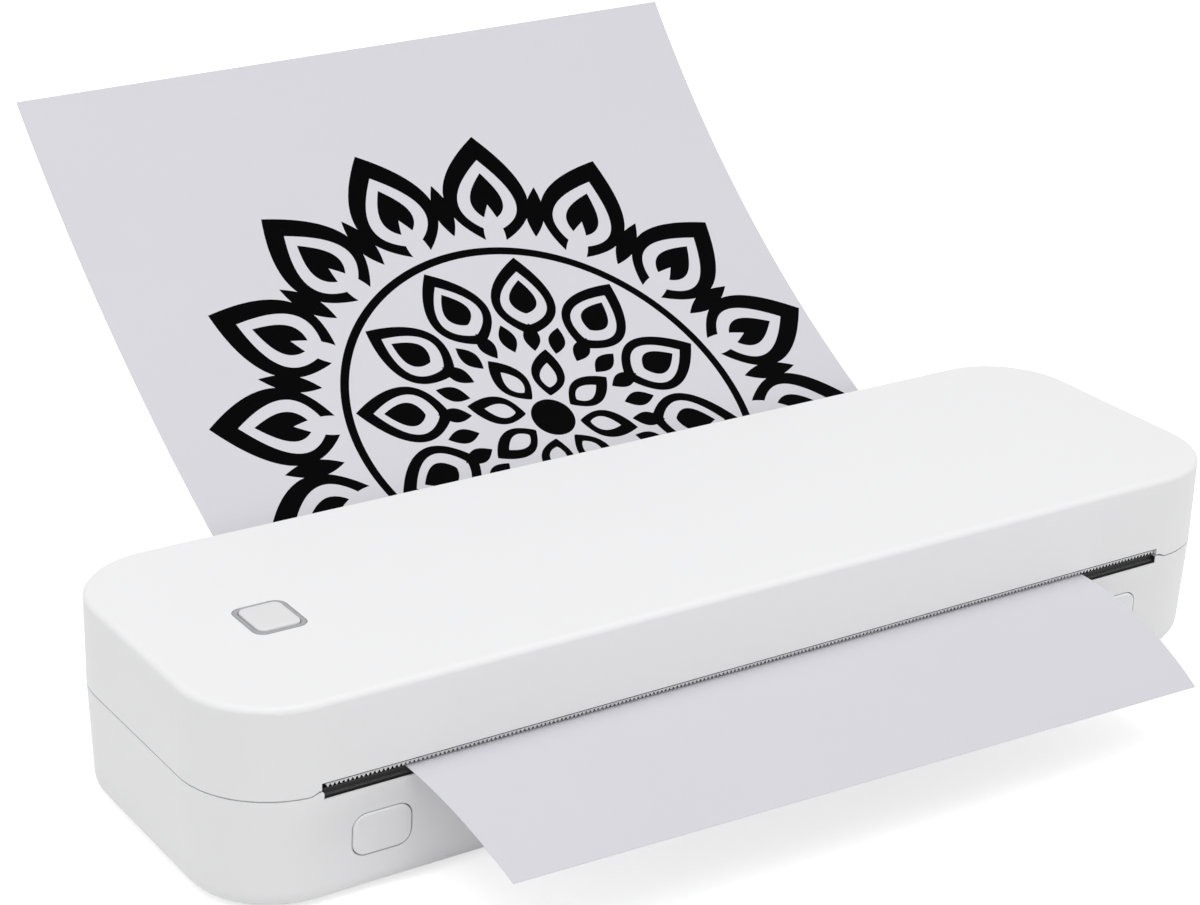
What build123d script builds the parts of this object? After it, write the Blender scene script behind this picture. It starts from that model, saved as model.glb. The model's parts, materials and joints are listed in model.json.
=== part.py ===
"""A4 portable thermal printer with a hinged cover and a loaded sheet, as separate pieces.

Millimetres, +Z up. X runs along the paper width, -Y is the front where the paper comes out, and the
origin is the middle of the plane that the feet stand on.
"""
from build123d import *
import math
import os

os.makedirs("parts", exist_ok=True)

# ---- housing -------------------------------------------------------------------------------
length = 310.0
depth = 94.5
corner_radius = 24.0
wall = 2.0
foot_height = 1.0
foot_pocket = 0.6
foot_radius = 6.0
floor_z = foot_height + wall
top_z = foot_height + 53.6
ceiling_z = top_z - wall
parting_z = 30.7
parting_gap = 0.3
cover_rim_z = parting_z + parting_gap
base_taper = 1.2
base_fillet = 5.0
top_round = 1.6
half_depth = depth / 2
inner_half_depth = half_depth - wall

# ---- paper outlet slot in the front --------------------------------------------------------
slot_x = (-129.9, 128.3)
slot_corner = 0.6
cover_slot_x = (-130.5, 128.5)
slot_floor_z = 29.45
slot_roof_z = 33.7
lip_thickness = 0.7
floor_lip_thickness = 0.4
rim_rise = 0.75
rim_gap_growth = 0.2
rim_rise_x = {-1: (130.6, 133.6), 1: (129.0, 132.4)}
guide_foot_z = 26.1
guide_front_y = -46.4
guide_step_z = 29.1
guide_ledge_z = 30.2
guide_crest_y = -45.95
guide_chamfer = 0.15
guide_sheet_gap = 0.02
guard_top_z = 33.5
guard_start_x = 112.5
comb_face_y = -46.4
comb_back_y = -44.8
comb_top_z = 38.0
comb_groove_z = (33.02, 33.5)
comb_groove_depth = 0.6
tooth_thickness = 0.4
tooth_count = 221
tooth_root_z = 32.67
tooth_tip_z = 31.92
tooth_shares = (0.05, 0.40, 0.60, 0.95)
comb_x = (-129.1, 128.4)

# ---- the sheet and its path ----------------------------------------------------------------
sheet_width = 210.0
sheet_length = 297.0
sheet_thickness = 0.15
sheet_centre_x = -3.0
sheet_level = 31.2
sheet_under_z = sheet_level - sheet_thickness / 2
bend_start_y = -25.3
bend_end_y = 50.0
bend_radius = 165.5
bend_centre_z = sheet_level + bend_radius
sheet_rise = 0.5
rise_start_y = -37.0
rise_end_y = -45.6
outlet_bend_y = -46.0
outlet_length = 48.6
outlet_radius = {-1: 172.0, 1: 84.0}
rear_radius = {-1: 500.0, 1: 360.0}
deck_radius = bend_radius + 1.3
deck_thickness = 1.6
deck_half_width = 111.3
deck_rib_height = 0.7
deck_rib_width = 1.2
deck_rib_pitch = 24.0
platen_window = (110.3, 7.0)
sensor_y = -15.0
sensor_half = (2.9, 1.9)
liner_radius = bend_radius - 2.0
liner_thickness = 1.5
liner_y = (-5.0, 42.0)
liner_rib_places = (-100.0, -50.0, 0.0, 50.0, 100.0)

# ---- rear inlet wall and hinge -------------------------------------------------------------
rear_wall_half_length = 130.7
rear_wall_top_z = 45.6
skirt_start_x = 131.0
hinge_y = 45.2
hinge_z = 50.3
hinge_pin_radius = 1.25
running_clearance = 0.05
knuckle_radius = 1.9
outer_knuckles = ((113.0, 116.0), (124.0, 127.0))
cover_knuckle = (116.3, 123.7)

# ---- platen, gears and motor ---------------------------------------------------------------
platen_y = -30.0
platen_radius = 6.0
nip_clearance = 0.1
platen_z = sheet_under_z - nip_clearance - platen_radius
platen_half_length = 109.5
shaft_radius = 2.5
frame_x = (112.6, 113.8)
bush_radius = 4.0
bush_collar = 1.2
gear_x = (114.8, 117.8)
gear_module = 0.5
tooth_addendum = 0.38
tooth_dedendum = 0.6
tooth_backlash = 0.08
pressure_angle = math.radians(20)
platen_teeth = 32
idler_teeth = 40
pinion_teeth = 12
idler_y = -15.5
motor_radius = 10.0
motor_length = 18.0
motor_rise = 1.2
motor_shaft_radius = 1.0
motor_ear_radius = 13.5
motor_ear_turn = -40.0
motor_boss_radius = 3.6
idler_pin_radius = 1.5
frame_top_z = 29.6
frame_front_y = -35.9
frame_foot_start = {-1: -32.0, 1: -24.0}
frame_rear_y = {-1: -19.0, 1: 13.5}
frame_screw_inset = 3.4

# ---- print head ----------------------------------------------------------------------------
ceramic_z = (31.42, 32.4)
ceramic_y = (-34.0, -26.0)
heatsink_z = (32.4, 36.4)
heatsink_y = (-36.0, -18.0)
head_half_length = 111.0
head_board_z = (34.0, 35.0)
bracket_z = (42.0, 43.2)
bracket_y = (-38.0, -10.0)
bracket_half_length = 113.5
head_pin_x = 104.0
head_pin_y = -27.0
head_pin_radius = 1.5
bracket_thickness = 1.2
head_spring_places = (-80.0, 0.0, 80.0)

# ---- release buttons and latches -----------------------------------------------------------
button_x = 114.5
button_z = 16.85
button_size = (15.6, 11.0)
button_corner = 3.6
button_gap = 0.28
button_back_y = -43.4
latch_plate_y = (-43.4, -40.6)
latch_plate_z = (11.35, 21.4)
latch_arm_x = (118.5, 124.5)
latch_arm_y = (-38.4, -36.6)
latch_nose_z = (27.8, 29.3)
catch_x = (119.0, 124.0)
catch_y = (-41.5, -40.0)
catch_hook_y = -38.8
catch_hook_z = (26.0, 27.5)
latch_spring_x = 110.4
latch_spring_z = 14.6
latch_rail_z = 11.3
spring_post_y = (-35.8, -33.8)

# ---- power button --------------------------------------------------------------------------
power_x = -120.6
power_y = -2.65
ring_size = (14.3, 16.0)
ring_corner = 3.0
ring_hole = (11.75, 13.35)
ring_hole_corner = 2.3
power_cap = (11.5, 13.1)
power_cap_corner = 2.2
power_cap_rise = 0.6
power_flange_z = 50.0
button_board_z = (44.9, 46.5)

# ---- electronics and battery ---------------------------------------------------------------
board_z = (8.0, 9.6)
board_x = (-128.0, -40.0)
board_y = (1.0, 43.0)
usb_x = -60.0
usb_z = 11.2
usb_size = (9.0, 3.2)
cell_radius = 9.2
cell_length = 65.0
cell_places = ((11.4, 13.0), (31.0, 13.0))
cell_start_x = 18.0

# ---- what stands on the floor --------------------------------------------------------------
foot_places = [(x, y) for x in (-130.0, 130.0) for y in (-30.0, 30.0)]
board_posts = [(x, y) for x in (-124.0, -44.0) for y in (5.0, 39.0)]
deck_legs = [(-100.0, -39.3), (0.0, -39.3), (100.0, -39.3), (-106.0, 38.0), (0.0, 38.0), (106.0, 38.0)]
leg_half = (2.2, 1.7)
tray_posts = (-20.0, 22.0)
tray_post_x = 136.0
tray_z = (27.9, 29.4)
tray_x = (121.5, 151.5)
tray_y = (-34.5, 34.0)
tray_corner = 14.0
board_post_radius = 2.5
tray_post_radius = 2.8
screw_radius = 1.05
screw_hole_radius = 1.1
small_screw_radius = 0.85
small_hole_radius = 0.9
screw_head_radius = 1.9
screw_head_height = 1.0
socket_radius = 0.7
socket_depth = 0.6
spring_pin_radius = 0.9

SIDES = {-1: "left", 1: "right"}


def save(builder, name):
    """Label a finished piece and write it to its own file."""
    builder.part.label = name
    export_step(builder.part, f"parts/{name}.step")


def block(x, y, z, mode=Mode.ADD):
    """A box between two limits on each axis."""
    with Locations(((x[0] + x[1]) / 2, (y[0] + y[1]) / 2, (z[0] + z[1]) / 2)):
        Box(abs(x[1] - x[0]), abs(y[1] - y[0]), abs(z[1] - z[0]), mode=mode)


def x_rod(radius, x, y, z, mode=Mode.ADD):
    """A cylinder along X between two ends."""
    with Locations(Location(((x[0] + x[1]) / 2, y, z), (0, 90, 0))):
        Cylinder(radius, abs(x[1] - x[0]), mode=mode)


def y_rod(radius, x, y, z, mode=Mode.ADD):
    """A cylinder along Y between two ends."""
    with Locations(Location((x, (y[0] + y[1]) / 2, z), (90, 0, 0))):
        Cylinder(radius, abs(y[1] - y[0]), mode=mode)


def z_rod(radius, x, y, z, mode=Mode.ADD):
    """An upright cylinder between two heights."""
    with Locations((x, y, (z[0] + z[1]) / 2)):
        Cylinder(radius, abs(z[1] - z[0]), mode=mode)


def on_side(side, limits):
    """A pair of limits on X, mirrored to one side of the middle."""
    return (side * limits[0], side * limits[1])


def top_screw_head(x, y, z):
    """A screw's head with its socket, standing on a height."""
    z_rod(screw_head_radius, x, y, (z, z + screw_head_height))
    z_rod(socket_radius, x, y, (z + screw_head_height - socket_depth, z + screw_head_height), Mode.SUBTRACT)


def under_screw_head(x, y, z):
    """A screw's head with its socket, hanging under a height."""
    z_rod(screw_head_radius, x, y, (z - screw_head_height, z))
    z_rod(socket_radius, x, y, (z - screw_head_height, z - screw_head_height + socket_depth), Mode.SUBTRACT)


def bend_height(radius, y):
    """The height at y of an arc about the centre of the sheet's inner bend."""
    return bend_centre_z - math.sqrt(radius ** 2 - (y - bend_start_y) ** 2)


def bend_band(y_from, y_to, upper_radius, lower_radius):
    """A closed outline in Y and Z between two arcs about the centre of the sheet's bend."""
    stops = (y_from, (y_from + y_to) / 2, y_to)
    upper = [(y, bend_height(upper_radius, y)) for y in stops]
    lower = [(y, bend_height(lower_radius, y)) for y in stops]
    with BuildLine() as outline:
        ThreePointArc(*upper)
        ThreePointArc(*lower)
        Line(upper[0], lower[0])
        Line(upper[2], lower[2])
    make_face(outline.edges())


def rim_step(side, low_z, rise, reach):
    """The area between the parting line's short S beside the slot and a level reach away from it."""
    inner_x, outer_x = (side * limit for limit in rim_rise_x[side])
    with BuildLine() as outline:
        Spline((outer_x, low_z), (inner_x, low_z + rise), tangents=((-side, 0), (-side, 0)))
        if reach > 0:
            Polyline((inner_x, low_z + rise), (inner_x, low_z + reach), (outer_x, low_z + reach),
                     (outer_x, low_z))
        else:
            end_x = inner_x - side * 2 * wall
            Polyline((inner_x, low_z + rise), (end_x, low_z + rise), (end_x, low_z + reach),
                     (outer_x, low_z + reach), (outer_x, low_z))
    make_face(outline.edges())


def coil(start, direction, height, radius, wire_radius, turns):
    """A compression spring's coil between two planes, standing on its start."""
    direction = Vector(*direction)
    first = Vector(*start) + direction * wire_radius
    rise = height - 2 * wire_radius
    with BuildLine():
        helix = Helix(rise / turns, rise, radius, center=first, direction=direction)
    with BuildSketch(Plane(origin=helix @ 0, z_dir=helix % 0)) as section:
        Circle(wire_radius)
    sweep(section.sketch, path=helix, is_frenet=True)


# ============================================================================================
# Base
# ============================================================================================
with BuildPart() as base_hollow:
    with BuildSketch(Plane.XY.offset(floor_z)):
        RectangleRounded(length - 2 * (base_taper + wall), depth - 2 * (base_taper + wall),
                         corner_radius - base_taper - wall)
    with BuildSketch(Plane.XY.offset(parting_z)):
        RectangleRounded(length - 2 * wall, depth - 2 * wall, corner_radius - wall)
    loft(ruled=True)
    fillet(faces().sort_by(Axis.Z)[0].edges(), base_fillet - wall)

with BuildPart() as base_shell:
    with BuildSketch(Plane.XY.offset(foot_height)):
        RectangleRounded(length - 2 * base_taper, depth - 2 * base_taper, corner_radius - base_taper)
    with BuildSketch(Plane.XY.offset(parting_z)):
        RectangleRounded(length, depth, corner_radius)
    loft(ruled=True)
    fillet(faces().sort_by(Axis.Z)[0].edges(), base_fillet)
    add(base_hollow.part, mode=Mode.SUBTRACT)
    # the rim rises a little beside the slot, in a short S
    with BuildSketch(Plane.XY.offset(parting_z)):
        RectangleRounded(length, depth, corner_radius)
        RectangleRounded(length - 2 * wall, depth - 2 * wall, corner_radius - wall, mode=Mode.SUBTRACT)
        with Locations(((rim_rise_x[1][1] - rim_rise_x[-1][1]) / 2, -half_depth)):
            Rectangle(rim_rise_x[1][1] + rim_rise_x[-1][1], 3 * wall, mode=Mode.INTERSECT)
    extrude(amount=rim_rise)
    with BuildSketch(Plane.XZ.offset(half_depth + wall)):
        for side in SIDES:
            rim_step(side, parting_z, rim_rise, 2 * rim_rise)
    extrude(amount=-4 * wall, mode=Mode.SUBTRACT)
    # the slot's floor, and the rebate behind it that the exit guide stands in
    outside_y = -half_depth - wall
    block(slot_x, (outside_y, -inner_half_depth + wall), (slot_floor_z, parting_z + 2 * rim_rise),
          Mode.SUBTRACT)
    # the rim's corners at the slot's two ends are rounded
    rim_top_z = parting_z + rim_rise
    for end_x in slot_x:
        rim_corner = edges().filter_by(Axis.Y).filter_by_position(Axis.Z, rim_top_z - 0.01, rim_top_z + 0.01)
        fillet(rim_corner.filter_by_position(Axis.X, end_x - 0.01, end_x + 0.01), slot_corner)
    block(slot_x, (-half_depth + floor_lip_thickness, -inner_half_depth + wall / 2),
          (guide_foot_z, slot_floor_z), Mode.SUBTRACT)
    # the rear wall stands up under the sheet, and carries the hinge knuckles
    block((-rear_wall_half_length, rear_wall_half_length), (inner_half_depth, half_depth),
          (parting_z, rear_wall_top_z))
    for side in SIDES:
        for knuckle in outer_knuckles:
            block(on_side(side, knuckle), (hinge_y - knuckle_radius, hinge_y + knuckle_radius),
                  (rear_wall_top_z - 3, hinge_z))
            x_rod(knuckle_radius, on_side(side, knuckle), hinge_y, hinge_z)
            x_rod(hinge_pin_radius, on_side(side, knuckle), hinge_y, hinge_z, Mode.SUBTRACT)
    # openings for the release buttons and the charging socket
    with BuildSketch(Plane.XZ.offset(half_depth + wall)):
        with Locations(*[(side * button_x, button_z) for side in SIDES]):
            RectangleRounded(button_size[0] + 2 * button_gap, button_size[1] + 2 * button_gap,
                             button_corner + button_gap)
    extrude(amount=-3 * wall, mode=Mode.SUBTRACT)
    with BuildSketch(Plane.XZ.offset(-inner_half_depth + wall)):
        with Locations((usb_x, usb_z)):
            RectangleRounded(usb_size[0] + 1, usb_size[1] + 1, usb_size[1] / 2)
    extrude(amount=-3 * wall, mode=Mode.SUBTRACT)
    # posts, the latches' rails and the posts that their springs push against
    for x, y in board_posts:
        z_rod(board_post_radius, x, y, (floor_z - wall / 2, board_z[0]))
        z_rod(small_hole_radius, x, y, (floor_z, board_z[0]), Mode.SUBTRACT)
    for side in SIDES:
        for y in tray_posts:
            z_rod(tray_post_radius, side * tray_post_x, y, (floor_z - wall / 2, tray_z[0]))
            z_rod(small_hole_radius, side * tray_post_x, y, (tray_z[0] - 8, tray_z[0]), Mode.SUBTRACT)
        for rail_x in (110.0, 122.0):
            block(on_side(side, (rail_x - 1, rail_x + 1)), (-43.0, -36.6),
                  (floor_z - wall / 2, latch_rail_z))
        block(on_side(side, (latch_spring_x - 1.9, latch_spring_x + 1.9)), spring_post_y,
              (floor_z - wall / 2, latch_spring_z + 3))
        y_rod(spring_pin_radius, side * latch_spring_x, (spring_post_y[0] - 1.6, spring_post_y[0] + 0.5),
              latch_spring_z)
    # pockets for the feet, and counterbored screw holes under the deck's legs
    for x, y in foot_places:
        z_rod(foot_radius, x, y, (foot_height, foot_height + foot_pocket), Mode.SUBTRACT)
    for x, y in deck_legs:
        z_rod(screw_hole_radius, x, y, (foot_height, floor_z), Mode.SUBTRACT)
        z_rod(2.8, x, y, (foot_height, foot_height + 1.1), Mode.SUBTRACT)
save(base_shell, "base_shell")

guide_back_y = comb_back_y + 0.2
guide_lip_y = -half_depth + floor_lip_thickness + running_clearance
guide_top_z = sheet_under_z + sheet_rise - guide_sheet_gap
guide_x = (slot_x[0] + 0.1, slot_x[1] - 0.1)
guide_outline = [(guide_back_y, guide_foot_z), (guide_lip_y, guide_foot_z), (guide_lip_y, guide_step_z),
                 (guide_front_y, guide_step_z), (guide_front_y, guide_ledge_z - guide_chamfer),
                 (guide_front_y + guide_chamfer, guide_ledge_z), (guide_crest_y, guide_ledge_z),
                 (guide_crest_y, guide_top_z - guide_chamfer),
                 (guide_crest_y + guide_chamfer, guide_top_z), (guide_back_y, guide_top_z)]
with BuildPart() as exit_guide:
    with BuildSketch(Plane.YZ.offset(guide_x[0])):
        with BuildLine():
            Polyline(*guide_outline, close=True)
        make_face()
    extrude(amount=guide_x[1] - guide_x[0])
    for guard_x in ((guide_x[0], -guard_start_x), (guard_start_x, guide_x[1])):
        block(guard_x, (guide_back_y, guide_back_y + 0.6), (guide_foot_z, guard_top_z))
save(exit_guide, "exit_guide")

deck_top_z = bend_centre_z - deck_radius
deck_front_y = -43.7
with BuildPart() as paper_deck:
    with BuildSketch(Plane.YZ):
        bend_band(bend_start_y, 44.8, deck_radius, deck_radius + deck_thickness)
        with BuildLine():
            Polyline((deck_front_y, deck_top_z), (bend_start_y, deck_top_z),
                     (bend_start_y, deck_top_z - deck_thickness), (deck_front_y, deck_top_z - deck_thickness),
                     close=True)
        make_face()
    extrude(amount=deck_half_width, both=True)
    # raised ribs that the sheet slides on
    for index in range(-4, 5):
        rib_x = deck_rib_pitch * index - deck_rib_width / 2
        with BuildSketch(Plane.YZ.offset(rib_x)):
            bend_band(-22.0, 44.6, deck_radius - deck_rib_height, deck_radius + 0.5)
        extrude(amount=deck_rib_width)
        block((rib_x, rib_x + deck_rib_width), (-43.5, -37.6),
              (deck_top_z - 0.5, sheet_under_z - guide_sheet_gap))
    block((-platen_window[0], platen_window[0]), (platen_y - platen_window[1], platen_y + platen_window[1]),
          (deck_top_z - 4, sheet_level), Mode.SUBTRACT)
    for x, y in deck_legs:
        leg_top_z = bend_height(deck_radius + deck_thickness / 2, max(y, bend_start_y)) - 0.6
        block((x - leg_half[0], x + leg_half[0]), (y - leg_half[1], y + leg_half[1]), (floor_z, leg_top_z))
        z_rod(screw_hole_radius, x, y, (floor_z, floor_z + 10), Mode.SUBTRACT)
    with Locations((0, sensor_y, deck_top_z)):
        Box(2 * sensor_half[0] + 0.2, 2 * sensor_half[1] + 0.2, 8, mode=Mode.SUBTRACT)
save(paper_deck, "paper_deck")

with BuildPart() as paper_sensor:
    block((-sensor_half[0], sensor_half[0]), (sensor_y - sensor_half[1], sensor_y + sensor_half[1]),
          (deck_top_z - 3.6, deck_top_z))
    for x in (-1.3, 1.3):
        z_rod(0.8, x, sensor_y, (deck_top_z - 0.4, deck_top_z), Mode.SUBTRACT)
save(paper_sensor, "paper_sensor")

for side, hand in SIDES.items():
    with BuildPart() as end_tray:
        block(on_side(side, tray_x), tray_y, tray_z)
        outer_edges = edges().filter_by(Axis.Z).sort_by(Axis.X)
        fillet(outer_edges[-2:] if side > 0 else outer_edges[:2], tray_corner)
        for y in tray_posts:
            z_rod(screw_hole_radius, side * tray_post_x, y, tray_z, Mode.SUBTRACT)
        for y in (-8, -2, 4, 10):
            block(on_side(side, (126.0, 131.0)), (y - 1.0, y + 1.0), tray_z, Mode.SUBTRACT)
    save(end_tray, f"end_tray_{hand}")

with BuildPart() as rubber_feet:
    for x, y in foot_places:
        z_rod(foot_radius, x, y, (0, foot_height + foot_pocket))
    fillet(edges().group_by(Axis.Z)[0], 0.4)
save(rubber_feet, "rubber_feet")

with BuildPart() as base_screws:
    for x, y in deck_legs:
        z_rod(screw_radius, x, y, (foot_height + 1.1, floor_z + 7))
        z_rod(2.4, x, y, (foot_height + 0.2, foot_height + 1.1))
        z_rod(0.9, x, y, (foot_height, foot_height + 0.7), Mode.SUBTRACT)
save(base_screws, "base_screws")

with BuildPart() as tray_screws:
    for side in SIDES:
        for y in tray_posts:
            z_rod(small_screw_radius, side * tray_post_x, y, (tray_z[0] - 6, tray_z[1]))
            top_screw_head(side * tray_post_x, y, tray_z[1])
save(tray_screws, "tray_screws")

# ============================================================================================
# Frames, platen and drive
# ============================================================================================
idler_centre_distance = gear_module * (platen_teeth + idler_teeth) / 2
idler_z = platen_z - math.sqrt(idler_centre_distance ** 2 - (idler_y - platen_y) ** 2)
motor_centre_distance = gear_module * (idler_teeth + pinion_teeth) / 2
motor_y = idler_y + math.sqrt(motor_centre_distance ** 2 - motor_rise ** 2)
motor_z = idler_z + motor_rise


def mesh_phase(driver, driver_phase, driver_teeth, driven, driven_teeth):
    """The angle of a driven gear's tooth that sits in mesh with the driver's teeth."""
    towards = math.atan2(driven[1] - driver[1], driven[0] - driver[0])
    lead = driver_phase - towards
    return towards + math.pi - lead * driver_teeth / driven_teeth + math.pi / driven_teeth


def gear_outline(teeth, centre, phase):
    """A closed outline of involute teeth in Y and Z."""
    pitch_radius = gear_module * teeth / 2
    base_radius = pitch_radius * math.cos(pressure_angle)
    root_radius = pitch_radius - tooth_dedendum
    start_radius = max(base_radius, root_radius)
    tip_radius = pitch_radius + tooth_addendum
    pitch_half_angle = math.pi / (2 * teeth) - tooth_backlash / (2 * pitch_radius)
    flank = []
    for step in range(4):
        radius = start_radius + (tip_radius - start_radius) * step / 3
        roll = math.acos(min(1.0, base_radius / radius))
        spread = math.tan(pressure_angle) - pressure_angle - (math.tan(roll) - roll)
        flank.append((radius, pitch_half_angle + spread))
    flank.insert(0, (root_radius, flank[0][1] + 0.01))
    points = []
    for tooth in range(teeth):
        middle = phase + 2 * math.pi * tooth / teeth
        rising = [(radius, middle - half_angle) for radius, half_angle in flank]
        falling = [(radius, middle + half_angle) for radius, half_angle in reversed(flank)]
        for radius, angle in rising + falling:
            points.append((centre[0] + radius * math.cos(angle), centre[1] + radius * math.sin(angle)))
    with BuildLine() as outline:
        Polyline(*points, close=True)
    make_face(outline.edges())


platen_centre = (platen_y, platen_z)
idler_centre = (idler_y, idler_z)
motor_centre = (motor_y, motor_z)
platen_phase = math.atan2(idler_z - platen_z, idler_y - platen_y)
idler_phase = mesh_phase(platen_centre, platen_phase, platen_teeth, idler_centre, idler_teeth)
pinion_phase = mesh_phase(idler_centre, idler_phase, idler_teeth, motor_centre, pinion_teeth)

with BuildPart() as platen_shaft:
    x_rod(shaft_radius, (-frame_x[1] - 2.5, gear_x[1] + 1.2), platen_y, platen_z)
    chamfer(edges().group_by(Axis.X)[0] + edges().group_by(Axis.X)[-1], 0.3)
save(platen_shaft, "platen_shaft")

with BuildPart() as platen_sleeve:
    x_rod(platen_radius, (-platen_half_length, platen_half_length), platen_y, platen_z)
    fillet(edges(), 0.3)
    x_rod(shaft_radius, (-platen_half_length, platen_half_length), platen_y, platen_z, Mode.SUBTRACT)
save(platen_sleeve, "platen_sleeve")

with BuildPart() as platen_gear:
    with BuildSketch(Plane.YZ.offset(gear_x[0])):
        gear_outline(platen_teeth, platen_centre, platen_phase)
        with Locations(platen_centre):
            Circle(shaft_radius, mode=Mode.SUBTRACT)
            with PolarLocations(5.2, 5):
                Circle(1.3, mode=Mode.SUBTRACT)
    extrude(amount=gear_x[1] - gear_x[0])
save(platen_gear, "platen_gear")

with BuildPart() as idler_gear:
    with BuildSketch(Plane.YZ.offset(gear_x[0])):
        gear_outline(idler_teeth, idler_centre, idler_phase)
        with Locations(idler_centre):
            Circle(idler_pin_radius + running_clearance, mode=Mode.SUBTRACT)
            with PolarLocations(5.6, 6):
                Circle(1.6, mode=Mode.SUBTRACT)
    extrude(amount=gear_x[1] - gear_x[0])
save(idler_gear, "idler_gear")

with BuildPart() as motor_pinion:
    with BuildSketch(Plane.YZ.offset(gear_x[0] - 0.5)):
        gear_outline(pinion_teeth, motor_centre, pinion_phase)
        with Locations(motor_centre):
            Circle(motor_shaft_radius, mode=Mode.SUBTRACT)
    extrude(amount=gear_x[1] - gear_x[0] + 0.5)
save(motor_pinion, "motor_pinion")

with BuildPart() as motor_shaft:
    x_rod(motor_shaft_radius, (frame_x[0] - motor_length + 1.0, gear_x[1] + 0.4), motor_y, motor_z)
save(motor_shaft, "motor_shaft")

with BuildPart() as idler_pin:
    x_rod(idler_pin_radius, (frame_x[0], gear_x[1] + 0.4), idler_y, idler_z)
    x_rod(2.6, (gear_x[1] + 0.3, gear_x[1] + 1.1), idler_y, idler_z)
    x_rod(2.2, (frame_x[1], gear_x[0] - 0.2), idler_y, idler_z)
save(idler_pin, "idler_pin")

with BuildPart() as motor_can:
    x_rod(motor_radius, (frame_x[0] - motor_length, frame_x[0]), motor_y, motor_z)
    fillet(edges().group_by(Axis.X)[0], 0.8)
    with BuildSketch(Plane.YZ.offset(frame_x[0])):
        with Locations(motor_centre):
            SlotOverall(2 * motor_ear_radius + 6, 6.0, rotation=motor_ear_turn)
    extrude(amount=-0.8)
    ear_angle = math.radians(motor_ear_turn)
    ear_reach = (motor_ear_radius * math.cos(ear_angle), motor_ear_radius * math.sin(ear_angle))
    for sign in (-1, 1):
        x_rod(small_hole_radius, (frame_x[0] - 2, frame_x[0]), motor_y + sign * ear_reach[0],
              motor_z + sign * ear_reach[1], Mode.SUBTRACT)
    x_rod(motor_shaft_radius + running_clearance, (frame_x[0] - motor_length + 0.8, frame_x[0]),
          motor_y, motor_z, Mode.SUBTRACT)
save(motor_can, "motor_can")

with BuildPart() as motor_screws:
    for sign in (-1, 1):
        place = (motor_y + sign * ear_reach[0], motor_z + sign * ear_reach[1])
        x_rod(small_screw_radius, (frame_x[0] - 1.6, frame_x[1]), *place)
        x_rod(screw_head_radius, (frame_x[1], frame_x[1] + 0.9), *place)
        x_rod(socket_radius, (frame_x[1] + 0.9 - socket_depth, frame_x[1] + 0.9), *place, Mode.SUBTRACT)
save(motor_screws, "motor_screws")

for side, hand in SIDES.items():
    rear_y = frame_rear_y[side]
    with BuildPart() as side_frame:
        with BuildSketch(Plane.YZ.offset(side * frame_x[0])):
            with BuildLine():
                Polyline((frame_front_y, floor_z), (rear_y, floor_z), (rear_y, frame_top_z - 5.6),
                         (platen_y + 8, frame_top_z), (frame_front_y, frame_top_z), close=True)
            make_face()
            fillet(vertices().group_by(Axis.Z)[-1] + vertices().sort_by(Axis.Y)[-1:], 1.5)
            with Locations(platen_centre):
                Circle(bush_radius, mode=Mode.SUBTRACT)
            if side > 0:
                with Locations(idler_centre):
                    Circle(idler_pin_radius, mode=Mode.SUBTRACT)
                with Locations(motor_centre):
                    Circle(motor_boss_radius, mode=Mode.SUBTRACT)
                for sign in (-1, 1):
                    with Locations((motor_y + sign * ear_reach[0], motor_z + sign * ear_reach[1])):
                        Circle(small_hole_radius, mode=Mode.SUBTRACT)
        extrude(amount=side * (frame_x[1] - frame_x[0]))
        # a bent foot that is screwed to the floor
        foot_start = frame_foot_start[side]
        block(on_side(side, (frame_x[0] - 6.5, frame_x[0])), (foot_start, foot_start + 9),
              (floor_z, floor_z + frame_x[1] - frame_x[0]))
        z_rod(small_hole_radius, side * (frame_x[0] - frame_screw_inset), foot_start + 4.5,
              (floor_z, floor_z + 2), Mode.SUBTRACT)
    save(side_frame, f"side_frame_{hand}")

with BuildPart() as frame_screws:
    for side in SIDES:
        foot_y = frame_foot_start[side] + 4.5
        foot_top = floor_z + frame_x[1] - frame_x[0]
        z_rod(small_screw_radius, side * (frame_x[0] - frame_screw_inset), foot_y, (floor_z, foot_top))
        top_screw_head(side * (frame_x[0] - frame_screw_inset), foot_y, foot_top)
save(frame_screws, "frame_screws")

with BuildPart() as platen_bushes:
    for side in SIDES:
        x_rod(bush_radius, on_side(side, frame_x), platen_y, platen_z)
        x_rod(bush_radius + bush_collar, on_side(side, (frame_x[0] - 1.0, frame_x[0])), platen_y, platen_z)
        x_rod(shaft_radius + running_clearance, on_side(side, (frame_x[0] - 1.3, frame_x[1] + 0.1)),
              platen_y, platen_z, Mode.SUBTRACT)
save(platen_bushes, "platen_bushes")

# ============================================================================================
# Electronics and battery
# ============================================================================================
with BuildPart() as main_board:
    block(board_x, board_y, board_z)
    block((-110.0, -102.0), (34.0, board_y[1]), board_z, Mode.SUBTRACT)
    for x, y in board_posts:
        z_rod(small_hole_radius, x, y, board_z, Mode.SUBTRACT)
save(main_board, "main_board")

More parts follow.
